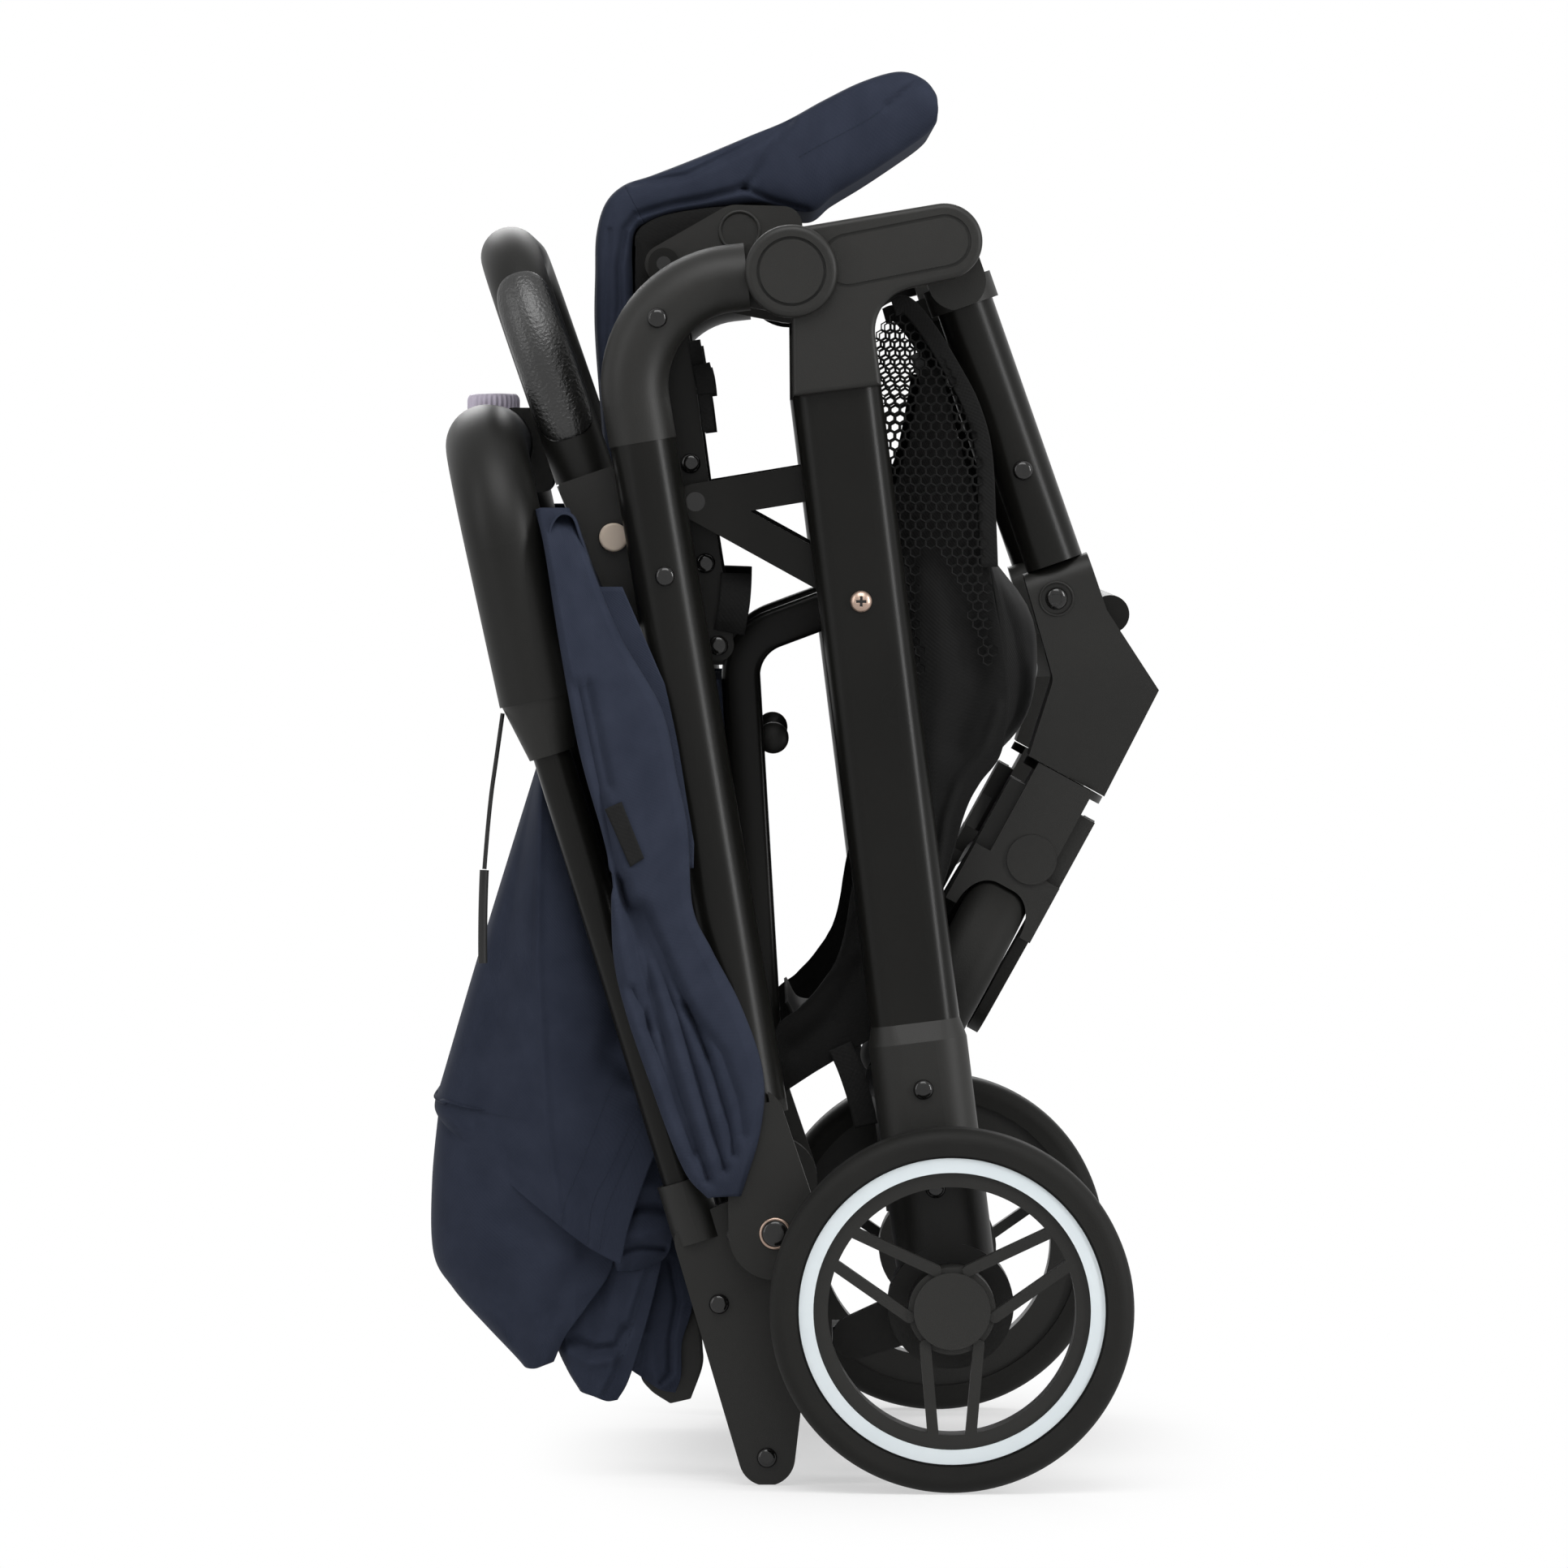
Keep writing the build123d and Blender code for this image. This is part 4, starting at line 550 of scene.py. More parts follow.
# Canopy hood: five layers, each from its near front edge over a soft corner to the middle, and mirrored
hoodSettings = {
    "upper": {
        "curves": [
            [(-99, 166, 296), (-76, 164, 214), (-60, 166, 166), (-54, 169, 150), (-62, 171, 128),
             (-69, 172, 108), (-73, 172, 90)],
            [(-102, 169, 297), (-90, 170.5, 216), (-81, 171.5, 160), (-77, 172, 145), (-80, 172.5, 124),
             (-84, 172.5, 109), (-86, 172, 97)],
            [(-106, 171, 297), (-107.5, 172, 218), (-104, 172.5, 160), (-102.5, 172.5, 146), (-101, 172.5, 130),
             (-99.5, 172.5, 118), (-98, 172, 106)],
            [(-107.5, 158, 297.5), (-121, 159, 218), (-130, 159, 160), (-130, 159, 152), (-129, 159.5, 143),
             (-127, 160, 135), (-124, 161, 127)],
            [(-108, 136, 298), (-131.5, 141, 219), (-147, 142, 164), (-149.3, 142, 157), (-149.8, 142, 153),
             (-149, 141, 150), (-147.5, 140, 147)],
            [(-108.5, 70, 298), (-132, 72, 220), (-148, 73, 165), (-150, 74, 158), (-150.4, 74, 153),
             (-150, 74, 150), (-148.5, 73, 147)],
            [(-108.5, 0, 298), (-131, 0, 220), (-146.5, 0, 165), (-148.5, 0, 158), (-149, 0, 153),
             (-148.5, 0, 150), (-147.5, 0, 147)],
        ],
        "creases": [
            ([(-106.5, 296), (-107.5, 218), (-103.5, 145), (-98, 109)], 1.3, 1.8),
            ([(-74, 190), (-78, 176), (-70, 168)], -3.0, 5.0),
            ([(-76, 168), (-65, 160)], 1.2, 3.0),
            ([(-118, 250), (-124, 190), (-133, 150)], -1.2, 6.0),
            ([(-92, 230), (-88, 180), (-92, 140)], 0.8, 9.0),
        ],
    },
    "lower": {
        "curves": [
            [(-68, 161, 138), (-73, 163, 112), (-77, 164, 88), (-87, 165, 72.5), (-96, 165.5, 60),
             (-101, 165.5, 49)],
            [(-84, 164, 140), (-87, 166, 112), (-90, 167, 90), (-97, 167.5, 73), (-102, 168, 60),
             (-105, 168, 47.5)],
            [(-106, 165, 146), (-109, 168, 116), (-110, 169, 92), (-110, 169, 72), (-110, 169, 58),
             (-109, 168, 46)],
            [(-130, 158, 152), (-134, 162, 120), (-135, 163, 92), (-129, 164, 72), (-122, 164, 59),
             (-113, 163, 46)],
            [(-148, 136, 156), (-151.3, 140, 122), (-151, 140, 92), (-143, 140, 77), (-130, 140, 62),
             (-114.5, 139, 46.5)],
            [(-148.5, 72, 156), (-151.6, 74, 122), (-151.2, 74, 92), (-144, 74, 77), (-131, 74, 62),
             (-115, 73, 47)],
            [(-147, 0, 156), (-150, 0, 122), (-150, 0, 92), (-143, 0, 77), (-130, 0, 62), (-114, 0, 47)],
        ],
        "tuck": 13.0,
        "creases": [
            ([(-146, 150), (-122, 112), (-108, 98)], -1.8, 7.0),
            ([(-142, 76), (-128, 66), (-118, 52)], 1.2, 3.5),
            ([(-118, 96), (-110, 70), (-106, 52)], 1.6, 6.0),
            ([(-86, 96), (-100, 72)], -2.0, 6.0),
        ],
    },
    "inner": {
        "curves": [
            [(-53, 158, 104), (-56, 161, 91), (-59.5, 162, 76), (-64.5, 162.5, 58), (-70, 162, 41),
             (-74.5, 161, 33)],
            [(-64, 159, 106), (-67, 162, 90), (-70, 163, 72), (-74, 163, 53), (-77.5, 162.5, 39), (-79, 161, 32.5)],
            [(-78, 159, 106), (-80, 161, 90), (-82, 162, 71), (-83.5, 162, 54), (-84.5, 162, 42),
             (-84.5, 161, 34.5)],
            [(-94, 154, 106), (-96, 157, 88), (-97, 158, 69), (-97, 158, 55), (-94, 158, 44.5), (-89.5, 157, 36)],
            [(-99, 132, 106), (-101, 135, 88), (-101.5, 136, 68), (-100.5, 136, 55), (-96, 136, 45),
             (-90.5, 135, 36)],
            [(-99, 66, 106), (-101, 68, 88), (-101.5, 68, 68), (-100.5, 68, 55), (-96, 68, 45), (-90.5, 67, 36)],
            [(-98, 0, 106), (-100, 0, 88), (-100.5, 0, 68), (-99.5, 0, 55), (-95, 0, 45), (-90, 0, 36)],
        ],
        "creases": [
            ([(-93.5, 58.5), (-84, 54), (-74.5, 55), (-71, 63)], -3.2, 2.2),
            ([(-95, 52.5), (-86, 48.5), (-77, 50)], 1.8, 2.6),
            ([(-84, 92), (-82, 72), (-80, 62)], -2.4, 4.5),
            ([(-62.5, 92), (-69, 72), (-77, 46), (-82, 36)], 0.9, 1.5),
        ],
    },
    "last": {
        "curves": [
            [(-49, 150, 102), (-43.2, 153, 82), (-43.6, 155, 70), (-47.6, 155.5, 57), (-48, 155.5, 43),
             (-50.5, 154, 35.5)],
            [(-56, 151, 104), (-51.5, 154.5, 84), (-52, 156.5, 68), (-54.5, 157, 55), (-55.5, 157, 44),
             (-57, 155, 37)],
            [(-64, 151, 106), (-61, 154, 85), (-61, 155.5, 67), (-62, 156, 55), (-63, 156, 47), (-64.5, 154, 42)],
            [(-72, 146, 106), (-71, 150, 85), (-70, 151, 67), (-70, 151, 57), (-70, 151, 50), (-70, 149, 46)],
            [(-74, 75, 107), (-73, 75, 84), (-72, 75, 66), (-71.5, 75, 57), (-71.5, 75, 51), (-71.5, 74, 47)],
            [(-74, 0, 107), (-73, 0, 84), (-72, 0, 66), (-71.5, 0, 57), (-71.5, 0, 51), (-71.5, 0, 47)],
        ],
        "creases": [
            ([(-52.5, 90), (-49.5, 74), (-52.5, 58), (-52.5, 44), (-56, 40)], -2.0, 1.5),
            ([(-62, 60), (-60, 46), (-56, 39)], 1.4, 3.0),
        ],
    },
    "gather": {
        "curves": [
            [(-56, 161, 146), (-53.5, 163, 128), (-52, 164, 114), (-51.5, 164, 104), (-53, 163, 95),
             (-57, 160, 90)],
            [(-62, 163, 146), (-60, 165, 128), (-59, 166, 114), (-58.5, 166.5, 104), (-60, 166, 94),
             (-62, 162, 88)],
            [(-68, 164, 146), (-67, 166, 128), (-67, 167, 114), (-67, 167.5, 104), (-67.5, 167, 93),
             (-69, 163, 87)],
            [(-74, 158, 146), (-76, 160, 128), (-77, 161, 114), (-77, 161, 104), (-77, 160, 93), (-77, 156, 87)],
            [(-78, 100, 146), (-80, 102, 128), (-81, 103, 114), (-81, 103, 104), (-81, 102, 94), (-81, 100, 88)],
            [(-78, 0, 146), (-80, 0, 128), (-81, 0, 114), (-81, 0, 104), (-81, 0, 94), (-81, 0, 88)],
        ],
        "creases": [
            ([(-74, 110), (-66, 113.5), (-58, 113), (-51, 111.5)], -3.6, 1.8),
            ([(-74, 103), (-62, 102.5), (-51, 104)], 2.2, 4.0),
            ([(-70, 124), (-58, 121), (-52, 122)], 1.6, 4.0),
            ([(-73, 95.5), (-64, 97.5), (-55, 96.5)], -2.6, 1.4),
        ],
    },
}


# Where creases, the tuck under the corner and the ripples set in: start and reach in millimetres
hoodShape = {
    "rows": 110, "cols": 130, "creased": (100, 50), "tuckDown": (138, -90), "tuckBack": (-92, -26),
    "tuckOut": (0, 120), "ripple": 1.1, "rippleAcross": 15, "rippleDown": 40, "rippled": (130, -130),
}


def hoodHalf(values):
    half = loftHalf(values["curves"], hoodShape["rows"], hoodShape["cols"])
    x, out, z = half[..., 0], half[..., 1], half[..., 2]
    out += creaseLift(half, values["creases"]) * rampUp(out, *hoodShape["creased"])
    under = rampUp(z, *hoodShape["tuckDown"]) * rampUp(x, *hoodShape["tuckBack"])
    out -= values.get("tuck", 0.0) * under * rampUp(out, *hoodShape["tuckOut"])
    wave = np.cos(out / hoodShape["rippleAcross"] + z / hoodShape["rippleDown"])
    x += hoodShape["ripple"] * wave * rampUp(out, *hoodShape["rippled"]) * np.linspace(0, 1, len(x))[:, None]
    return half


def makeHoodLayer(name, half):
    grid = wholeSheet(half)
    layer = gridPiece(name, grid, finishes["navy_cloth"])
    addModifier(layer, "SOLIDIFY", thickness=0.0011, offset=-1.0)
    attach(layer, "handle")
    print(name, "flat area", round(gridArea(grid), 4))
    return layer


hoodHalves = {key: hoodHalf(values) for key, values in hoodSettings.items()}
hoodLayers = {key: makeHoodLayer("hood" + key.capitalize(), half) for key, half in hoodHalves.items()}
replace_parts(hoodLayers["upper"], "canopy_hood")


# Board that stiffens the hood's last layer: its bare black edge shows below and beside the cloth
boardSettings = {
    "left": [(-58, 150, 74), (-60, 151, 58), (-65, 151, 44), (-61, 151, 36.5), (-52.6, 150, 30.6)],
    "right": [(-44, 150, 74), (-40, 151, 62), (-39, 151, 54), (-39.2, 151, 46), (-44, 150, 32.6)],
    "thickness": 0.0022,
}


def makeBoard():
    half = loftHalf([boardSettings["right"], boardSettings["left"]], 40, 16)
    for label, sign in bothSides:
        board = gridPiece("hoodBoard" + label, mirrored(half, sign), finishes["moulded_black"], flip=sign > 0)
        addModifier(board, "SOLIDIFY", thickness=boardSettings["thickness"], offset=-1.0)
        addModifier(board, "BEVEL", width=0.0005, segments=2)
        attach(board, "handle")


makeBoard()
print("hood draped")


# Canopy visor: a side panel between its two edges, with long pleats that deepen towards the foot.
# Each valley is one crease line; the cloth swells softly between them.
visorSettings = {
    "left": [(-107, 188, 404), (-103, 200, 388), (-97, 203, 350), (-89, 204, 306), (-80, 204, 272),
             (-76, 204, 250), (-74.5, 204, 219), (-69, 204, 195), (-59, 204, 166), (-51, 204, 144),
             (-44, 204, 129), (-36, 203, 120.5)],
    "right": [(-95, 188, 404), (-88, 200, 386), (-74, 203, 352), (-57, 204, 322), (-50.5, 204, 294),
              (-46, 204, 272), (-44, 204, 240), (-36, 204, 222), (-24, 204, 199), (-15, 204, 172),
              (-16, 204, 148), (-24, 203, 121)],
    "valleys": [
        ([(-90, 330), (-82, 292), (-76, 262), (-71, 240)], -3.2, 2.5),
        ([(-86, 332), (-77, 290)], -2.2, 2.2),
        ([(-74, 252), (-68, 226), (-63, 206), (-61, 190)], -3.8, 2.5),
        ([(-72, 250), (-62, 218), (-56, 190), (-49, 164), (-41, 141), (-37, 128)], -4.4, 2.7),
        ([(-66, 240), (-57, 216), (-49, 194), (-42, 172), (-35, 148), (-30, 132)], -4.2, 2.5),
        ([(-63, 240), (-51, 212), (-41, 190), (-34, 170), (-28, 150), (-26, 138)], -3.8, 2.4),
        ([(-46, 200), (-41, 186), (-37, 178)], -3.0, 2.2),
        ([(-68, 206), (-58, 180), (-50, 156), (-43, 138)], -3.2, 2.2),
        ([(-45, 198), (-31, 180), (-24, 160), (-22, 146)], -2.2, 2.7),
    ],
    "swell": 2.6, "rim": 0.09, "foot": (119, 10), "footSink": 2.5,
}


def visorHalf(rows=190, cols=150):
    left = throughPoints(visorSettings["left"], rows)
    right = throughPoints(visorSettings["right"], rows)
    share = np.linspace(0, 1, cols)[None, :, None]
    half = left[:, None] * (1 - share) + right[:, None] * share
    across = share[..., 0]
    edge = rampUp(np.minimum(across, 1 - across), 0, visorSettings["rim"]) ** 0.5
    half[..., 1] += visorSettings["swell"] * edge
    half[..., 1] += creaseLift(half, visorSettings["valleys"]) * edge
    foot = rampUp(half[..., 2], *visorSettings["foot"]) ** 0.5
    half[..., 1] -= visorSettings["footSink"] * (1 - foot)
    return half


def makeVisor():
    half = visorHalf()
    for label, sign in bothSides:
        grid = mirrored(half, sign)
        panel = gridPiece("visor" + label, grid, finishes["navy_cloth"], flip=sign > 0)
        addModifier(panel, "SOLIDIFY", thickness=0.0012, offset=-1.0)
        attach(panel, "canopy_bow")
        print("visor" + label, "flat area", round(gridArea(grid), 4))
        if sign < 0:
            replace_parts(panel, "canopy_visor")
    return half


visorNear = makeVisor()


# Cloth that joins the two visor panels over the bow: a fold carried across the width, waving below the bow
visorTopSettings = {
    "fold": [(-92, 352), (-97, 378), (-102, 393), (-98.5, 401.5), (-92.5, 401), (-89, 392), (-83, 374), (-75, 354)],
    "half": 201.0, "wave": 2.2, "waves": 4.5, "waved": (392, -40),
}


def makeVisorTop():
    fold = throughPoints(visorTopSettings["fold"], 60)[:, None]
    w = np.linspace(-1, 1, 121)[None]
    drop = rampUp(fold[..., 1], *visorTopSettings["waved"])
    x = fold[..., 0] + visorTopSettings["wave"] * drop * np.cos(visorTopSettings["waves"] * pi * w) * (1 - w**4)
    y, z = np.broadcast_arrays(visorTopSettings["half"] * w, fold[..., 1])
    grid = np.stack([x, y, z], -1) / 1000
    top = gridPiece("visorTop", grid, finishes["navy_cloth"], flip=True)
    addModifier(top, "SOLIDIFY", thickness=0.0011, offset=0.0)
    attach(top, "canopy_bow")
    print("visorTop flat area", round(gridArea(grid), 4))


makeVisorTop()


# Under layer of the visor, in its shadow along the right edge
underSettings = {
    "left": [(-84, 196, 372), (-72, 198, 340), (-62, 199, 310), (-58, 199, 280), (-54, 199, 256)],
    "right": [(-72, 196, 372), (-58, 198, 340), (-46.5, 199, 312), (-42.5, 199, 284), (-42.5, 199, 256)],
}


def makeUnderLayer():
    half = loftHalf([underSettings["left"], underSettings["right"]], 60, 16)
    for label, sign in bothSides:
        grid = mirrored(half, sign)
        layer = gridPiece("visorUnder" + label, grid, finishes["navy_cloth"], flip=sign > 0)
        addModifier(layer, "SOLIDIFY", thickness=0.0011, offset=-1.0)
        attach(layer, "canopy_bow")


makeUnderLayer()


# Blank woven label on the near visor panel: a small black patch that follows the cloth
labelSettings = {"corners": [(-79.2, 280.5), (-72.2, 283.6), (-62.9, 260.3), (-68.6, 256.6)], "above": 0.9}


def makeLabel():
    a, b, c, d = np.array(labelSettings["corners"], float)
    u = np.linspace(0, 1, 9)[None, :, None]
    v = np.linspace(0, 1, 25)[:, None, None]
    spots = (a * (1 - u) + b * u) * (1 - v) + (d * (1 - u) + c * u) * v
    flat = visorNear[..., [0, 2]].reshape(-1, 2)
    nearest = ((spots[:, :, None] - flat) ** 2).sum(-1).argmin(-1)
    out = visorNear[..., 1].ravel()[nearest].mean() + labelSettings["above"]
    grid = np.stack([spots[..., 0], np.full(spots.shape[:2], -out), spots[..., 1]], -1) / 1000
    label = gridPiece("blankLabel", grid, finishes["webbing"])
    addModifier(label, "SOLIDIFY", thickness=0.0012, offset=-1.0)
    attach(label, "canopy_bow")


makeLabel()
makeStitches("visorStitches", visorNear, [
    [(-79.5, 326), (-77, 304), (-75.5, 286)],
    [(-42, 217), (-33, 201), (-22.5, 166), (-20.5, 146), (-31.5, 129)],
], "canopy_bow")
makeStitches("hoodStitches", hoodHalves["upper"], [
    [(-76.5, 166), (-87, 138), (-96, 116), (-98, 106)],
    [(-64, 160), (-76, 133), (-84.5, 116), (-87, 98)],
    [(-60, 159), (-70, 134), (-79, 113), (-82, 96)],
], "handle")
makeStitches("flapStitches", hoodHalves["inner"], [[(-60.5, 90), (-66.5, 70), (-74.5, 46), (-80, 36)]], "handle")
print("visor pleated")


# Cushions: an outer and an inner side-view curve, joined by a ring with bulging sides, which is carried
# along both curves. The seat and legrest share one run that is split at the seat's front corner.
cushionSettings = {
    "cover": {
        "outer": [(-71, 351), (-77, 395), (-80.5, 438), (-83.5, 478), (-83.4, 503), (-83, 519), (-79.5, 531.5),
                  (-72, 539), (-60, 543.2), (-40, 551), (-19, 559.8), (-4, 566), (12, 574.8), (28, 582.5),
                  (43, 586.6), (53, 583.6), (58.3, 577.5), (59.3, 572)],
        "inner": [(-55, 352), (-61, 396), (-65, 438), (-67.5, 478), (-68.3, 500), (-68.5, 512), (-67.3, 519.5),
                  (-63.5, 523), (-54, 526.8), (-35, 530), (-14, 531.5), (5.6, 527.9), (16, 535), (30, 543.5),
                  (45, 553.5), (54, 560), (58.3, 564.6), (59.2, 569)],
        "half": 136.0, "round": 8.0, "crown": 2.0, "corner": 7, "rows": 239,
        "creases": [
            ([(-68.5, 539.5), (-46, 543), (-25, 553.5), (-11, 561), (-2, 566.5)], -2.6, 1.5),
            ([(-77, 460), (-73.5, 490), (-74, 505), (-71.5, 520.5), (-67, 526.5), (-52, 531), (-38, 533.5),
              (-21.7, 537.8)], -2.4, 1.3),
            ([(-2, 566), (-6.5, 560), (-12.6, 550.5), (-17, 543), (-21.7, 537.8)], -2.0, 1.5),
            ([(-21.7, 537.8), (-9.5, 532.5), (4.7, 528.7)], -1.8, 1.0),
            ([(37.5, 572), (45, 578), (51.5, 583)], -2.2, 1.3),
            ([(-80, 470), (-79, 500), (-78, 520)], -1.2, 1.2),
        ],
    },
    "lining": {
        "outer": [(-54, 353), (-60, 396), (-64, 438), (-66.5, 478), (-67.3, 500), (-67, 518)],
        "inner": [(-48.8, 353), (-48.8, 396), (-48.8, 438), (-48.8, 478), (-58, 500), (-66, 518)],
        "half": 134.0, "round": 3.0, "crown": 0.0, "creases": [([(-60, 420), (-61, 480)], -0.8, 2.0)],
    },
    "corner": {
        "outer": [(-67.5, 514), (-66.8, 519), (-63, 523), (-54, 526.8), (-35, 529.8), (-16, 530.5), (-8, 529)],
        "inner": [(-59, 500), (-57.5, 503), (-55, 505), (-46, 508), (-33, 512), (-16, 518), (-8, 520)],
        "half": 134.0, "round": 2.5, "crown": 0.0, "creases": [([(-58, 512), (-40, 518)], -0.8, 2.0)],
    },
    "back": {
        "outer": [(-38, 331.5), (-41, 326), (-37.5, 260), (-33, 200), (-30, 174), (-27, 169.5)],
        "inner": [(-32, 331.5), (-31, 326), (-26.8, 260), (-22.3, 200), (-20.6, 174), (-22.5, 169.5)],
        "half": 126.0, "round": 5.0, "crown": 1.5, "creases": [([(-36, 320), (-27, 180)], -0.8, 1.6)],
    },
}
# Points on a ring's bulging side and across its width, the bulge's power, and where creases set in at the side
cushionShape = {"side": 28, "width": 25, "power": 2.6, "creased": (-2, 4)}


def cushionRun(values, rows):
    outer = throughPoints(values["outer"], rows)
    inner = throughPoints(values["inner"], rows)
    flank = values["half"] - values["round"]
    a = np.cos(np.linspace(0, pi, cushionShape["side"]))
    power = cushionShape["power"]
    bulge = flank + values["round"] * (1 - np.abs(a) ** power) ** (1 / power)
    wide = np.linspace(-flank, flank, cushionShape["width"])[1:-1]
    across = np.concatenate([a, -np.ones(len(wide)), a[::-1], np.ones(len(wide))])
    y = np.concatenate([-bulge, wide, bulge[::-1], wide[::-1]])
    thick = (outer - inner)[:, None]
    place = 0.5 * (outer + inner)[:, None] + 0.5 * across[None, :, None] * thick
    crown = values["crown"] * (1 - (y / flank) ** 2) * (across > 0.99) * (np.abs(y) < flank)
    place = place + crown[None, :, None] * unit(thick)
    run = np.stack([place[..., 0], np.broadcast_to(y, place.shape[:2]), place[..., 1]], -1)
    taken = rampUp(np.abs(y) - flank, *cushionShape["creased"])
    run[..., 1] += np.sign(y) * taken * creaseLift(run, values["creases"])
    return run


def makeCushion(name, run, node, cloth):
    pad = gridPiece(name, withEnds(run / 1000), finishes[cloth], closeU=True)
    if node:
        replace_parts(pad, node)
    return pad


cover = cushionSettings["cover"]
coverRun = cushionRun(cover, cover["rows"])
coverSplit = round(cover["corner"] * (cover["rows"] - 1) / (len(cover["outer"]) - 1))
seatCushion = makeCushion("seatCushion", coverRun[:coverSplit + 1], "seat_pad", "navy_cloth")
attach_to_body(seatCushion, "seat")
legCushion = makeCushion("legCushion", coverRun[coverSplit:], "legrest_pad", "navy_cloth")
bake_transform(legCushion)
seatLining = makeCushion("seatLining", cushionRun(cushionSettings["lining"], 60), None, "black_cloth")
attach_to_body(seatLining, "seat")
cornerLining = makeCushion("cornerLining", cushionRun(cushionSettings["corner"], 60), None, "black_cloth")
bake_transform(cornerLining)
backCushion = makeCushion("backCushion", cushionRun(cushionSettings["back"], 80), "backrest_pad", "navy_cloth")
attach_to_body(backCushion, "backrest")
coverSide = coverRun[coverSplit:, :cushionShape["side"]] * (1, -1, 1)
legLine = [(1, 550.5), (8.6, 555), (20.7, 561.3), (31.2, 567.2), (37.3, 572)]
makeStitches("legStitches", coverSide, [legLine], "legrest")
print("cushions filled")


# Basket cloth: a side-view line carried across the width, sagging in the middle
basketSettings = {
    "line": [(52, 470), (66, 430), (76, 398), (85, 350), (82, 316), (72, 290), (58, 262), (44, 232), (32, 208),
             (14, 190), (2, 188), (-4, 197)],
    "half": [(0.0, 170.0), (0.36, 168.0), (0.5, 124.0), (1.0, 122.0)], "sag": 5.0,
    "wave": 1.6, "waveAcross": 9, "waveDown": 6, "belly": 17.0, "bellyPlace": 338.0, "bellyReach": 40.0,
    "liftRange": (-3.0, 1.6),
    "left": [(52, 170, 462), (46, 170.5, 430), (37, 171, 400), (35, 171, 359), (33, 171, 312), (28, 171, 268),
             (23, 171, 247), (18.5, 171, 222), (10, 171, 206.5), (1.3, 170.5, 197), (-7.8, 170, 189.5),
             (-10.5, 169.5, 176.5), (-6.5, 169, 162.5)],
    "right": [(60, 170, 462), (68, 170.5, 430), (77, 171, 398), (82, 171, 368), (86, 171, 346), (88, 171, 326),
              (85, 171, 303), (76, 171, 290), (70, 171, 278), (62, 171, 251), (50, 171, 217), (35, 170.5, 188.5),
              (18, 170, 176.5), (6.7, 169.5, 169.5), (-5.5, 169, 161.5)],
    "creases": [
        ([(46, 380), (42, 330), (40, 280), (34, 236)], -2.4, 5.0),
        ([(58, 372), (60, 330), (54, 280), (46, 230)], 1.2, 5.0),
        ([(84, 322), (78, 305), (67, 291), (62, 277), (58, 252)], 1.4, 1.8),
        ([(72, 352), (74, 330), (66, 306)], -2.6, 6.0),
        ([(22, 236), (16, 214), (2, 200)], 1.2, 2.4),
        ([(26, 214), (14, 192), (0, 180)], -2.4, 5.0),
    ],
}


def hangBasket(name, grid):
    cloth = gridPiece(name, grid, finishes["black_cloth"])
    addModifier(cloth, "SOLIDIFY", thickness=0.0012, offset=0.0)
    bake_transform(cloth)
    print(name, "flat area", round(gridArea(grid), 4))
    return cloth


def makeBasket():
    values = basketSettings
    line = throughPoints(values["line"], 90)
    v = np.linspace(0, 1, 90)[:, None]
    w = np.linspace(-1, 1, 81)[None]
    half = np.interp(v, *np.transpose(values["half"]))
    slope = unit(np.gradient(line, axis=0))
    out = np.stack([-slope[:, 1], slope[:, 0]], -1)
    wave = values["wave"] * np.cos(values["waveAcross"] * w + values["waveDown"] * v) + values["sag"] * (1 - w**2)
    wave = wave * np.sin(pi * v)
    belly = values["belly"] * np.exp(-(((line[:, 1:] - values["bellyPlace"]) / values["bellyReach"]) ** 4))
    x = line[:, :1] - out[:, :1] * wave * 0.5 + belly * (1 - np.abs(w) ** 6)
    z = line[:, 1:] - out[:, 1:] * wave * 0.5
    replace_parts(hangBasket("basketCloth", np.stack([x, w * half, z], -1) / 1000), "basket_cloth")
    panel = loftHalf([values["left"], values["right"]], 160, 60)
    panel[..., 1] += np.clip(creaseLift(panel, values["creases"]), *values["liftRange"])
    for label, sign in bothSides:
        hangBasket("basketSide" + label, mirrored(panel, sign))


makeBasket()


# Basket net: six-sided cells on a grid, bent with the side panel and left as strands, with a bound front edge
netSettings = {
    "border": [(34, 478), (40, 485.5), (44.5, 487), (52, 478), (62, 461.5), (70, 446), (75, 427.5), (76.6, 400),
               (78.6, 379.5), (81.3, 351.5), (83, 338.5), (78.5, 341), (70, 366), (63.5, 383), (56.5, 390),
               (50, 383), (49, 366), (52.7, 336), (47, 334), (43, 380), (37, 426), (34, 457)],
    "binding": [(40, 487.5), (45.5, 488.5), (54, 479), (64.5, 462), (72.5, 446.5), (77.5, 428), (79.2, 400),
                (80, 380)],
    "pitch": 4.3, "rowStep": 0.866, "corner": (32, 334), "rows": 44, "cols": 14, "weld": 0.05,
    "strand": 0.00125, "depth": 174.9, "bulge": 1.3, "bulgeMiddle": (66, 400), "bulgeLean": 0.12, "bulgeReach": 9,
    "bindingWidth": 0.0072, "bindingThickness": 0.0016, "bindingDepth": 174.6,
}


def insideBorder(points, border):
    a = np.asarray(border, float)
    b = np.roll(a, -1, 0)
    x, z = points[..., 0][..., None], points[..., 1][..., None]
    cross = (a[:, 1] > z) != (b[:, 1] > z)
    reach = (b[:, 0] - a[:, 0]) * (z - a[:, 1]) / (b[:, 1] - a[:, 1] + 1e-9) + a[:, 0]
    return (np.sum(cross & (x < reach), -1) % 2) == 1


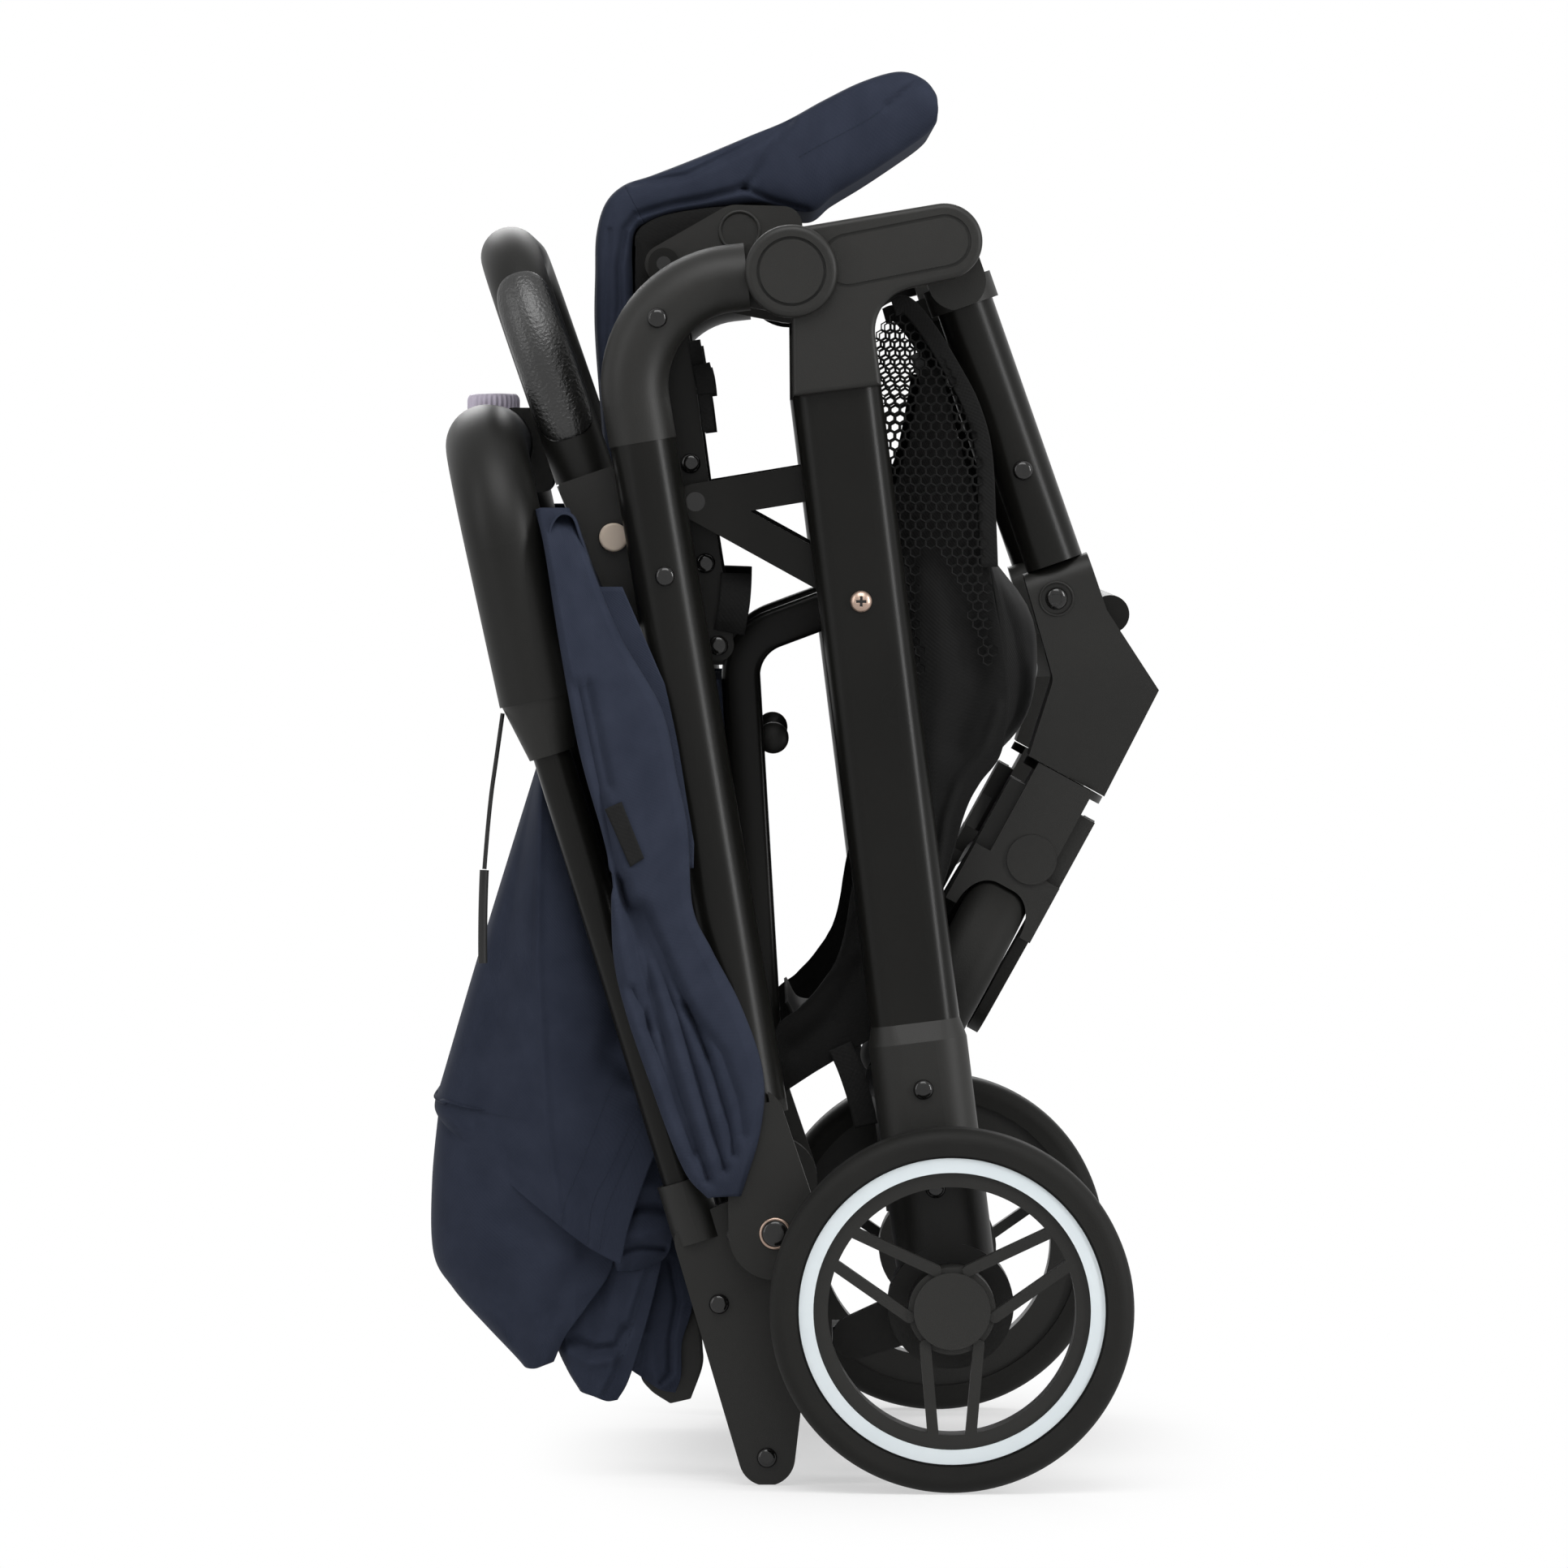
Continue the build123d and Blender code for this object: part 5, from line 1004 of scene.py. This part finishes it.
def makeNet(name, sign):
    values = netSettings
    pitch, (left, low), (middleX, middleZ) = values["pitch"], values["corner"], values["bulgeMiddle"]
    row, col = np.mgrid[0:values["rows"], 0:values["cols"]]
    centre = np.stack([left + pitch * (col + 0.5 * (row % 2)), low + pitch * values["rowStep"] * row], -1)
    centre = centre[insideBorder(centre, values["border"])]
    turn = np.radians(np.arange(6) * 60 + 30)
    ring = pitch / np.sqrt(3) * np.stack([np.cos(turn), np.sin(turn)], -1)
    corner = (centre[:, None] + ring[None]).reshape(-1, 2)
    key = np.round(corner / values["weld"]).astype(int)
    _, first, back = np.unique(key, axis=0, return_index=True, return_inverse=True)
    x, z = corner[first].T
    bulge = values["bulge"] * np.cos((x - middleX - values["bulgeLean"] * (z - middleZ)) / values["bulgeReach"])
    place = np.stack([x, sign * (values["depth"] + bulge), z], -1) / 1000
    net = meshPiece(name, place, back.reshape(-1, 6), finishes["net_black"])
    addModifier(net, "WIREFRAME", thickness=values["strand"], use_even_offset=False)
    attach(net, "rear_frame")
    path = atDepth(throughPoints(values["binding"], 70), sign * values["bindingDepth"])
    band = bandProfile(values["bindingWidth"], values["bindingThickness"])
    attach(sweepPiece(name + "Binding", path, band, finishes["black_cloth"]), "rear_frame")
    return net


nets = [makeNet("net" + label, sign) for label, sign in bothSides]
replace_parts(nets[0], "basket_net")
print("basket hung")


# Webbing: flat bands swept along short paths of (x, outward, z)
strapSettings = {
    "thickness": 0.0014,
    "bands": {
        "seatLoop": {"body": "seat", "width": 0.0130, "path": [
            (-25, 161.2, 377), (-25.2, 164, 372), (-25.8, 165.2, 365), (-27, 164, 358), (-28, 161.2, 353)]},
        "harnessEnd": {"body": "seat", "width": 0.0052, "path": [
            (-42.5, 160.6, 474), (-40.5, 162, 462), (-38.2, 163, 450), (-36.4, 162.4, 436)]},
        "harnessSlide": {"body": "seat", "width": 0.0075, "path": [
            (-39.6, 163.4, 464), (-38.6, 164.2, 460), (-38.0, 164.2, 456), (-37.6, 163.4, 452)]},
        "basketTie": {"body": "rear_frame", "width": 0.0100, "path": [
            (18, 172.4, 181), (22, 173.6, 172), (26, 174, 160), (29, 173.6, 148)]},
    },
}


def makeStraps():
    for name, values in strapSettings["bands"].items():
        path = throughPoints(values["path"], 40)
        band = bandProfile(values["width"], strapSettings["thickness"])
        for label, sign in bothSides:
            strap = sweepPiece(name + label, path * (1, sign, 1) / 1000, band, finishes["webbing"])
            attach(strap, values["body"])


makeStraps()
print("straps sewn")


# Turned details: a profile of (radius, height) spun about an axis that points outwards. A wire makes a ring,
# else it is a dome, with a wall where a depth is given and a cross cut into it where there is a recess.
detailSettings = {
    "legScrew": {"centre": (26.6, 198.2, 366.0), "radius": 4.5, "height": 2.7, "steps": 40, "sides": 96,
                 "recess": (0.55, 2.1, 0.9), "finish": "copper_screw", "body": "rear_frame", "slot": "steel"},
    "elbowScrew": {"centre": (108.0, 167.0, 366.7), "radius": 4.6, "height": 2.7, "steps": 40, "sides": 96,
                   "recess": (1.7, 1.9, 1.1), "slant": 0.292,
                   "finish": "steel", "body": "front_frame", "slot": "steel"},
    "elbowDish": {"centre": (108.0, 166.9, 366.7), "radius": 6.9, "wire": 0.55, "sides": 48, "slant": 0.292,
                  "finish": "moulded_black", "body": "front_frame", "slot": "moulded_black"},
    "hingeRing": {"centre": (-8.9, 202.0, 105.0), "radius": 5.9, "wire": 0.75, "sides": 48,
                  "finish": "copper_screw", "body": "upper_frame", "slot": "steel"},
    "plateOval": {"centre": (-23.6, 149.3, 519.6), "radius": 8.2, "wire": 0.8, "sides": 48,
                  "finish": "moulded_black", "body": "legrest", "slot": "moulded_black"},
    "backKnob": {"centre": (-9.6, 104.0, 307.5), "radius": 6.6, "height": 4.0, "steps": 24, "depth": 7.0, "sides": 40,
                 "finish": "moulded_black", "body": "backrest", "slot": "moulded_black"},
}


def detailProfile(values):
    radius = values["radius"]
    if "wire" in values:
        turn = np.linspace(0, 2 * pi, 13)
        return np.stack([radius + values["wire"] * np.cos(turn), values["wire"] * np.sin(turn)], -1)
    reach = np.linspace(0.001, 1, values["steps"])
    dome = np.stack([radius * reach, values["height"] * np.sqrt(np.maximum(1 - 0.96 * reach**2, 0))], -1)
    if "depth" in values:
        dome = np.vstack([dome, [(radius, -values["depth"]), (0.001, -values["depth"])]])
    return dome


def turnedPiece(name, sign, values):
    reach, height = detailProfile(values).T[..., None]
    turn = np.linspace(0, 2 * pi, values["sides"], endpoint=False)
    x, z = reach * np.cos(turn), reach * np.sin(turn)
    out = height + values.get("slant", 0.0) * z
    if "recess" in values:
        arm, length, depth = values["recess"]
        out -= depth * (((np.abs(x) < arm) & (np.abs(z) < length)) | ((np.abs(z) < arm) & (np.abs(x) < length)))
    centre = values["centre"]
    grid = np.stack([centre[0] + x, sign * (centre[1] + out), centre[2] + z], -1) / 1000
    piece = gridPiece(name, grid, finishes[values["finish"]], closeU=True, flip=sign > 0)
    attach(piece, values["body"])


for label, sign in bothSides:
    for name, values in detailSettings.items():
        turnedPiece(name + label, sign, values)
print("screw heads turned")


# Leatherette inset on the bumper: a patch on the bar's own tube. The bar's line is straight and then turns a
# quarter round towards the middle; the patch covers an angle about that line and swells from its rim.
insetSettings = {
    "foot": (-88.0, 418.0), "top": (-119.6, 509.6), "middle": 154.5, "barRadius": 12.6, "bend": 46.0,
    "start": 16.0, "end": 84.0, "halfAngle": 1.25, "swell": 1.7, "sink": 0.5,
    "outline": (6, 2.4), "rim": (5, 14),
}


def makeInset(name, sign):
    values = insetSettings
    foot, top = np.array(values["foot"]), np.array(values["top"])
    straight = np.linalg.norm(top - foot) - values["bend"]
    up = np.array([top[0] - foot[0], 0, top[1] - foot[1]]) / np.linalg.norm(top - foot)
    run = np.linspace(values["start"], values["end"], 90)
    turn = np.clip((run - straight) / values["bend"], 0, pi / 2)
    outward = np.array([0.0, 1.0, 0.0])
    rise = np.minimum(run, straight) + values["bend"] * np.sin(turn)
    inset = values["bend"] * (1 - np.cos(turn))
    line = np.array([foot[0], values["middle"], foot[1]]) + rise[:, None] * up - inset[:, None] * outward
    away = np.cos(turn)[:, None] * outward + np.sin(turn)[:, None] * up
    cross = np.cross(up, outward)
    v = np.linspace(-1, 1, 90)[:, None]
    u = np.linspace(-1, 1, 50)[None]
    blunt, root = values["outline"]
    width = (1 - np.abs(v) ** blunt) ** (1 / root)
    angle = (values["halfAngle"] * u * width)[..., None]
    side, end = values["rim"]
    rim = np.clip((1 - np.abs(u) ** side) * (1 - np.abs(v) ** end), 0, 1) ** 0.5
    radius = (values["barRadius"] + values["swell"] * rim - values["sink"])[..., None]
    grid = line[:, None] + radius * (np.cos(angle) * away[:, None] + np.sin(angle) * cross)
    grid[..., 1] *= sign
    patch = gridPiece(name, grid / 1000, finishes["pad_leather"], flip=sign < 0)
    attach(patch, "bumper")
    return patch


insets = [makeInset("leatherInset" + label, sign) for label, sign in bothSides]
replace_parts(insets[0], "bumper_pads")
print("bumper inset laid")


# Release button: its wall's radius rises and falls with the turn, which makes the ribs, below a crowned top
ribSettings = {
    "rows": [(0.0, 1.0, 0.0), (0.45, 1.0, 0.0), (0.47, 1.0, 1.0), (0.62, 1.0, 1.0), (0.76, 1.0, 1.0),
             (0.86, 0.985, 0.7), (0.94, 0.94, 0.4), (1.0, 0.86, 0.2)],
    "count": 30, "height": 0.3, "play": 0.06, "crown": 0.3,
}


def makeRibs():
    low, high = np.array(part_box("release_button")) * 1000
    x, y, _ = 0.5 * (low + high)
    turn = np.linspace(0, 2 * pi, 240, endpoint=False)[None]
    share, reach, strength = np.array(ribSettings["rows"]).T[..., None]
    radius = 0.5 * (high[0] - low[0]) * reach - ribSettings["play"]
    radius = radius + ribSettings["height"] * strength * np.cos(ribSettings["count"] * turn)
    z = np.broadcast_to(low[2] + (high[2] - low[2]) * share, radius.shape)
    wall = np.stack([x + radius * np.cos(turn), y + radius * np.sin(turn), z], -1)
    foot, top = (np.broadcast_to((x, y, end), wall[:1].shape) for end in (low[2], high[2] + ribSettings["crown"]))
    ribs = gridPiece("buttonRibs", np.concatenate([foot, wall, top]) / 1000, finishes["lilac_grey"], closeU=True)
    attach(ribs, "release_button")
    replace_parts(ribs, "release_button")


makeRibs()
print("button ribbed")


# Flat-oval sleeve over each side of the backrest's tube: it follows the tube's line with its rounded corner
sleeveSettings = {
    "start": (19.0, 364.1), "corner": (-24.0, 348.0), "end": (-14.3, 183.0), "bend": 21.0,
    "middle": 108.0, "width": 0.0162, "thickness": 0.0136,
}


def makeBackSleeve(name, sign):
    values = sleeveSettings
    start, corner, end = (np.array(values[key]) for key in ("start", "corner", "end"))
    before, after = unit(start - corner), unit(end - corner)
    opening = np.arccos(np.dot(before, after))
    reach = values["bend"] / np.tan(opening / 2)
    centre = corner + unit(before + after) * values["bend"] / np.sin(opening / 2)
    first, last = corner + before * reach, corner + after * reach
    sweep = pi - opening
    t = np.linspace(0, 1, 24)[:, None]
    arc = centre + (np.sin((1 - t) * sweep) * (first - centre) + np.sin(t * sweep) * (last - centre)) / np.sin(sweep)
    line = np.vstack([start + (first - start) * np.linspace(0, 0.97, 12)[:, None], arc,
                      last + (end - last) * np.linspace(0.02, 1, 40)[:, None]])
    band = bandProfile(values["width"], values["thickness"], 24)
    tube = sweepPiece(name, atDepth(line, sign * values["middle"]), band, finishes["painted_tube"])
    attach(tube, "backrest")


for label, sign in bothSides:
    makeBackSleeve("backSleeve" + label, sign)
print("backrest sleeved")
